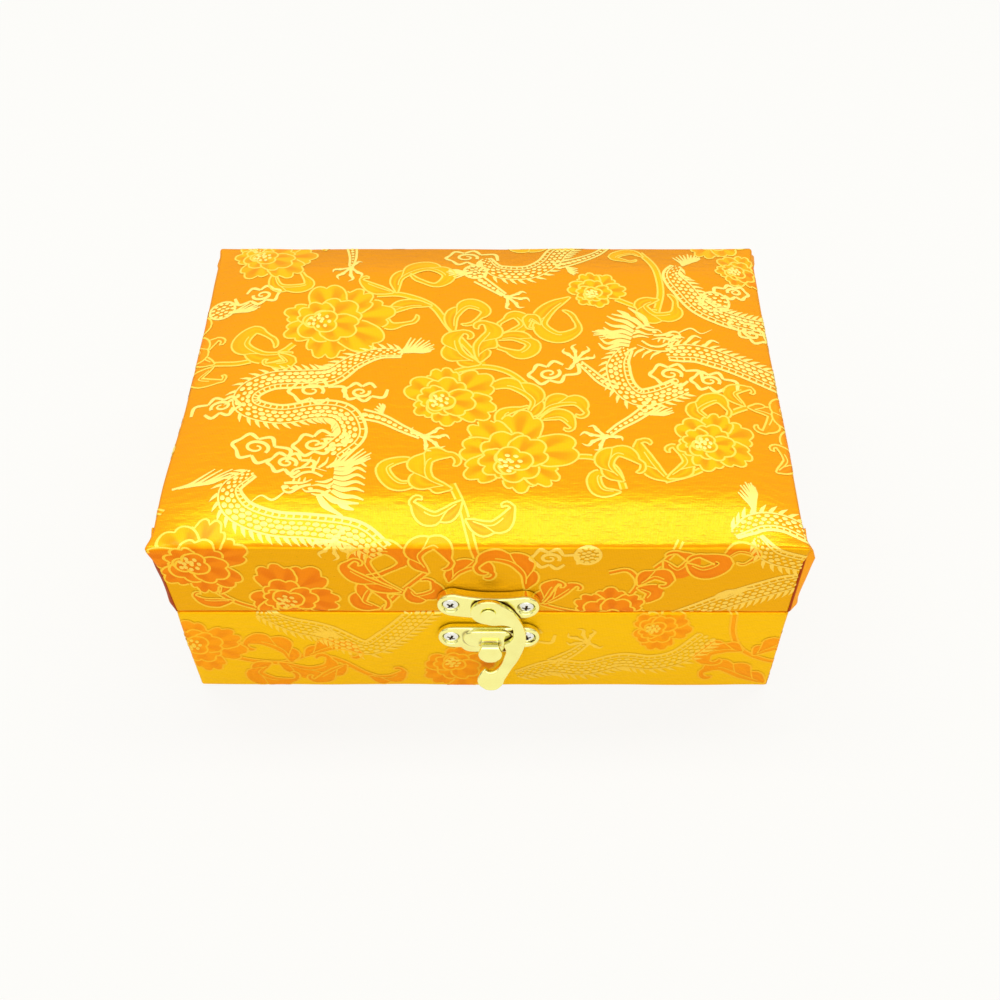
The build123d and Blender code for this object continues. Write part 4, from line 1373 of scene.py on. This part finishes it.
lid_wall_figures = (
    ("flower", [(-74, 57)], 13, 15, 7),
    ("stem", [(-85, 52), (-75, 48), (-68, 41), (-60, 37)], 1.5),
    ("leaf", [(-71, 44), (-70, 48), (-73, 50)], 3.0, 1),
    ("leaf", [(-68, 41), (-75, 41), (-78, 43)], 3.0, 1),
    ("flower", [(-52, 43)], 13, 60, 6),
    ("leaf", [(-20, 44), (-28, 50), (-31, 58), (-25, 62), (-21, 57), (-26, 53)], 5.0, 3),
    ("leaf", [(-22, 45), (-31, 50), (-36, 55), (-34, 58)], 3.8, 2),
    ("stem", [(-28, 37), (-22, 45), (-14, 54)], 1.5),
    ("leaf", [(-28, 38), (-33, 41), (-30, 47), (-26, 42)], 4.4, 2),
    ("leaf", [(-20, 47), (-18, 43), (-13, 45), (-13, 49)], 3.8, 2),
    ("leaf", [(-14, 53), (-17, 60), (-12, 64), (-8, 58)], 4.6, 3),
    ("leaf", [(16, 40), (18, 46), (20, 49)], 3.6, 2),
    ("leaf", [(17, 40), (22, 45), (25, 48)], 3.6, 2),
    ("flower", [(35, 36)], 11, 95, 6),
    ("stem", [(40, 43), (42, 49), (39, 54), (34, 53)], 1.5),
    ("leaf", [(42, 48), (46, 52), (50, 50)], 4.2, 2),
    ("leaf", [(42, 47), (46, 45), (45, 42)], 3.8, 1),
    ("stem", [(46, 55), (49, 59), (52, 65)], 1.4),
    ("leaf", [(48, 58), (52, 54), (55, 58), (52, 61)], 4.0, 1),
    ("leaf", [(54, 57), (59, 54), (63, 57), (58, 60)], 4.4, 1),
    ("leaf", [(63, 57), (67, 62), (72, 60), (70, 57)], 2.8, 1),
    ("leaf", [(-9, 49), (-6, 54), (-1, 56), (3, 53)], 4.2, 3),
    ("leaf", [(12, 46), (12, 53), (8, 58), (2, 59), (-1, 56)], 5.0, 3),
    ("stem", [(11, 43), (16, 40), (22, 37.5), (28, 36)], 1.3),
    ("cloud", [(18, 59)], 5.0, 0),
    ("haunch", [(28, 60)], 3.4, 0),
    ("serpent", [(90, 52), (80, 48), (70, 43), (62, 38), (54, 33)], 6.4),
    ("tuft", [(74, 47)], 205, 12, 14, 7),
    ("serpent", [(72, 66), (76, 60), (84, 57), (92, 55)], 5.6, -1),
)
for loom.turn, loom.shift, loom.span in flaps(lid_tray):
    loom.draw(lid_wall_figures, -(lid_tray.half[1] + lid_tray.level), 1)

lid_threads = silk_threads(
    "lid",
    (colour(255, 192, 10), colour(238, 138, 12)),
    (colour(250, 156, 8), colour(228, 122, 8)),
    (colour(255, 226, 92), colour(246, 200, 58)),
    (colour(255, 240, 130), colour(246, 208, 88)),
)
lid_figures = weave("lid", lid_tray, loom, "lid", lid_threads)


# Lid corner folds.
# At each corner the spare cloth is folded flat against the side wall and pasted down. The folds stand out
# a little from the wall, most at the top, where they bunch up.
fold_high, fold_low, fold_width, fold_thickness = 62.0, 36.4, 11.0, 0.5
fold_grid = 56, 72
fold_left = (36.4, 0.1), (39, 1.0), (43, 0.5), (50, 0.4), (56, 0.6), (59.6, 0.6), (61, 0.2), (62.0, -1.1)
fold_right = (36.4, 0.7), (38.5, 1.9), (41, 1.6), (50, 2.2), (57.8, 3.2), (60.6, 1.8), (62.0, -0.9)
fold_tones = colour(248, 164, 18), colour(246, 164, 18)
# Painted shade: dark red for the groove by the upright edge and for the pleat.
groove_shade_tones = colour(150, 52, 0), colour(160, 54, 0)
fold_silk = brocade("lid_fold_silk", *fold_tones, 0.4, 0.35, groove_shade_tones)


def corner_fold(name, side, end, stand, groove):
    """The folded cloth on one side wall, at one end of it. How far it stands off is given for some of its
    heights, and its groove lies along the box's upright edge, painted dark red there and in the pleat as
    painted shade."""
    rows, columns = fold_grid
    up, back = np.meshgrid(np.linspace(0, 1, rows), np.linspace(0, 1, columns) ** 2, indexing="ij")
    width = fold_width * (1.2 - 0.55 * up) + 0.5 * np.sin(up * 7)
    z = fold_low + (fold_high - fold_low) * up
    bulge = np.interp(z, *np.array(stand).T) * (1 if end < 0 else 0.7) + 0.1 * np.sin(up * 13 + side)
    rolled = 1 - np.exp(-back / 0.035)
    out = 0.55 + bulge * (1 - back) ** 1.8 * rolled - 0.95 * (1 - rolled)
    pleat = np.clip(0.25 * bulge, 0, 0.5) * np.exp(-(((back - 0.3 - 0.2 * up) / 0.05) ** 2))
    pleat = pleat * np.sin(math.pi * up) ** 0.5
    y = end * (lid_tray.half[1] + 0.15 - 0.5 * rolled - back * width)
    bowed = lid_tray.bow(y, lid_tray.level - z) if side < 0 else 0
    x = side * (lid_tray.half[0] + out - pleat + bowed)
    z = z + 0.5 * np.sin(back * 5) * (1 - up)
    points = np.column_stack([x.ravel(), y.ravel(), z.ravel()])
    faces = grid_faces(rows, columns)
    if side * end > 0:
        faces = faces[:, ::-1]
    piece = solid_of(name, points * mm, faces, fold_silk, points[:, [2, 1]])
    # Painted shade along the groove and in the pleat.
    dark = np.clip((groove + 0.25 - out) / 0.25, 0, 1) * np.clip((0.1 - back) / 0.05, 0, 1) + 1.3 * pleat
    keep(piece.data, "vein", np.clip(dark, 0, 1).ravel())
    thick = piece.modifiers.new("thickness", "SOLIDIFY")
    thick.thickness, thick.offset = fold_thickness * mm, -1
    applied(piece)
    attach(piece, "lid")
    return piece


for side, side_name, stand, groove in ((-1, "left", fold_left, 0.75), (1, "right", fold_right, 0.1)):
    for end, end_name in ((-1, "front"), (1, "rear")):
        corner_fold(f"lid_corner_fold_{end_name}_{side_name}", side, end, stand, groove)
spread = 2 * (lid_tray.half + lid_tray.run[0][-1]) * mm
sheet_area = float(spread[0] * spread[1] - 4 * (lid_tray.run[0][-1] * mm) ** 2)


# Lid linings and pad.
# Four satin-covered cards stand inside the lid's walls, round a thin satin pad over sponge.
finish_nodes(lining_satin, *[f"lid_lining_{side}" for side in sides])
stuffed("lid_satin_pad", "lid_cushion", "lid", False)


# Hasp plate.
# A stamped brass plate with a raised rim that the hook turns on. It hangs a little askew, as fitted by hand.
cast("hasp_plate_stamped", "hasp_plate", latch_brass, "lid")
latch_screws("hasp_cross_screws", "hasp_screws", "lid", (38, 8))


# Rivet and hook.
# The hook is cast brass with rounded edges and a thumb pad bent forwards at its tip. It swings on a brass
# rivet with a low head.
cast("hook_rivet", "hasp_rivet", latch_brass, "lid")
cast("swing_hook", "latch_hook", latch_brass, "hook")


# Hinges.
# Two small butt hinges on the back: stamped leaves with rolled knuckles, a pin with a button head, and
# four screws each.
hinge_brass = bright_brass("hinge_brass", colour(236, 200, 104), 0.27)
for side in ("left", "right"):
    for name, node, body in (
        ("hinge_pin_turned", "hinge_pin", "base"),
        ("hinge_leaf_rolled_base", "hinge_leaf_base", "base"),
        ("hinge_leaf_rolled_lid", "hinge_leaf_lid", "lid"),
    ):
        cast(f"{name}_{side}", f"{node}_{side}", hinge_brass, body, soften=9, wall_side=-1)
hinge_steel = screw_metal("hinge_screw_brass", colour(220, 180, 84), colour(246, 214, 120))
hinge_screw, hinge_screw_reach = (1.5, 0.6, 4.0, 0.8), 6.0
for body in ("base", "lid"):
    low, high = corners(f"hinge_screws_{body}")
    level = (low[2] + high[2]) / 2
    places = []
    for side in ("left", "right"):
        leaf_low, leaf_high = corners(f"hinge_leaf_{body}_{side}")
        middle = (leaf_low[0] + leaf_high[0]) / 2
        for end in (-1, 1):
            place = (middle + end * hinge_screw_reach, high[1], level)
            places.append((place, 15 + 31 * len(places)))
    name, node = f"hinge_cross_screws_{body}", f"hinge_screws_{body}"
    screws(name, node, body, hinge_steel, places, hinge_screw, back=True)


# Floor, lamps and camera.
# A pale table under plain studio light: one wide soft lamp hangs over the back of the box.
floor_reach = 20
floor_mesh = bpy.data.meshes.new("floor")
floor_corners = [(floor_reach * x, floor_reach * y, 0) for x, y in ((-1, -1), (1, -1), (1, 1), (-1, 1))]
floor_mesh.from_pydata(floor_corners, [], [(0, 1, 2, 3)])
floor = new_object("floor", floor_mesh)
rays = ("Is Camera Ray", "Is Glossy Ray", "Is Transmission Ray")
pale, shader, place = blank("floor_paint", 0.9)
shader.inputs["Base Color"].default_value = colour(253, 246, 222)
shader.inputs["Specular IOR Level"].default_value = 0.1
glow_share, glow = 0.92, colour(250, 250, 249)
straight, mirrored, through = [place.node("ShaderNodeLightPath", None, None, kind) for kind in rays]
seen = straight + mirrored + through
lit = place.node("ShaderNodeEmission", None, {"Color": glow, "Strength": 1.0})
mixed = seen.node("ShaderNodeMixShader", None, {0: seen * glow_share, 1: Tint(shader.outputs[0]), 2: lit})
mixed.tree.links.new(mixed.socket, mixed.tree.nodes["Material Output"].inputs["Surface"])
floor_mesh.materials.append(pale)

world = bpy.data.worlds.new("studio")
world.use_nodes = True
bpy.context.scene.world = world
sky = world.node_tree.nodes["Background"]
sky_height = Tint(world.node_tree.nodes.new("ShaderNodeTexCoord").outputs["Generated"])
rise = sky_height.node("ShaderNodeSeparateXYZ", None, {0: sky_height}, 2)
sky_tones = (0.0, 0.22), (0.1, 0.26), (0.34, 0.92), (0.62, 0.86), (1.0, 0.64)
stops = [(place, (tone,) * 3) for place, tone in sky_tones]
level = rise.node("ShaderNodeValToRGB", {"stops": stops}, {0: rise})
seen = rise.node("ShaderNodeLightPath", None, None, 0)
(seen * (1 - level) + level).link(sky, "Strength")
sky.inputs["Color"].default_value = (1.0, 1.0, 1.0, 1)


def soft_lamp(name, place, target, width, height, power):
    """A softbox that looks at a point on the box."""
    data = bpy.data.lights.new(name, "AREA")
    data.shape, data.size, data.size_y, data.energy = "RECTANGLE", width, height, power
    lamp = new_object(name, data)
    lamp.location = place
    lamp.rotation_euler = (Vector(target) - Vector(place)).to_track_quat("-Z", "Y").to_euler()


soft_lamp("overhead", (0, 0.22, 0.83), (0, -0.055, 0.06), 1.5, 0.2, 5.4)
soft_lamp("front_fill", (0, -1.3, 0.5), (0, -0.06, 0.03), 1.3, 0.8, 6.0)

camera_data = bpy.data.cameras.new("camera")
camera_data.lens, camera_data.shift_y = 43.85, 0.15
camera_data.clip_start = 0.01
camera = new_object("camera", camera_data)
camera.location = (0.00627, -0.27331, 0.30119)
pitch, yaw, roll = math.radians(53.485), math.radians(0.374), math.radians(-0.237)
turns = (yaw, "Z"), (math.pi / 2 - pitch, "X"), (roll, "Z")
heading, tilt, lean = [Matrix.Rotation(angle, 3, axis) for angle, axis in turns]
camera.rotation_euler = (heading @ tilt @ lean).to_euler()
bpy.context.scene.camera = camera
bpy.context.scene.view_settings.view_transform = "Standard"
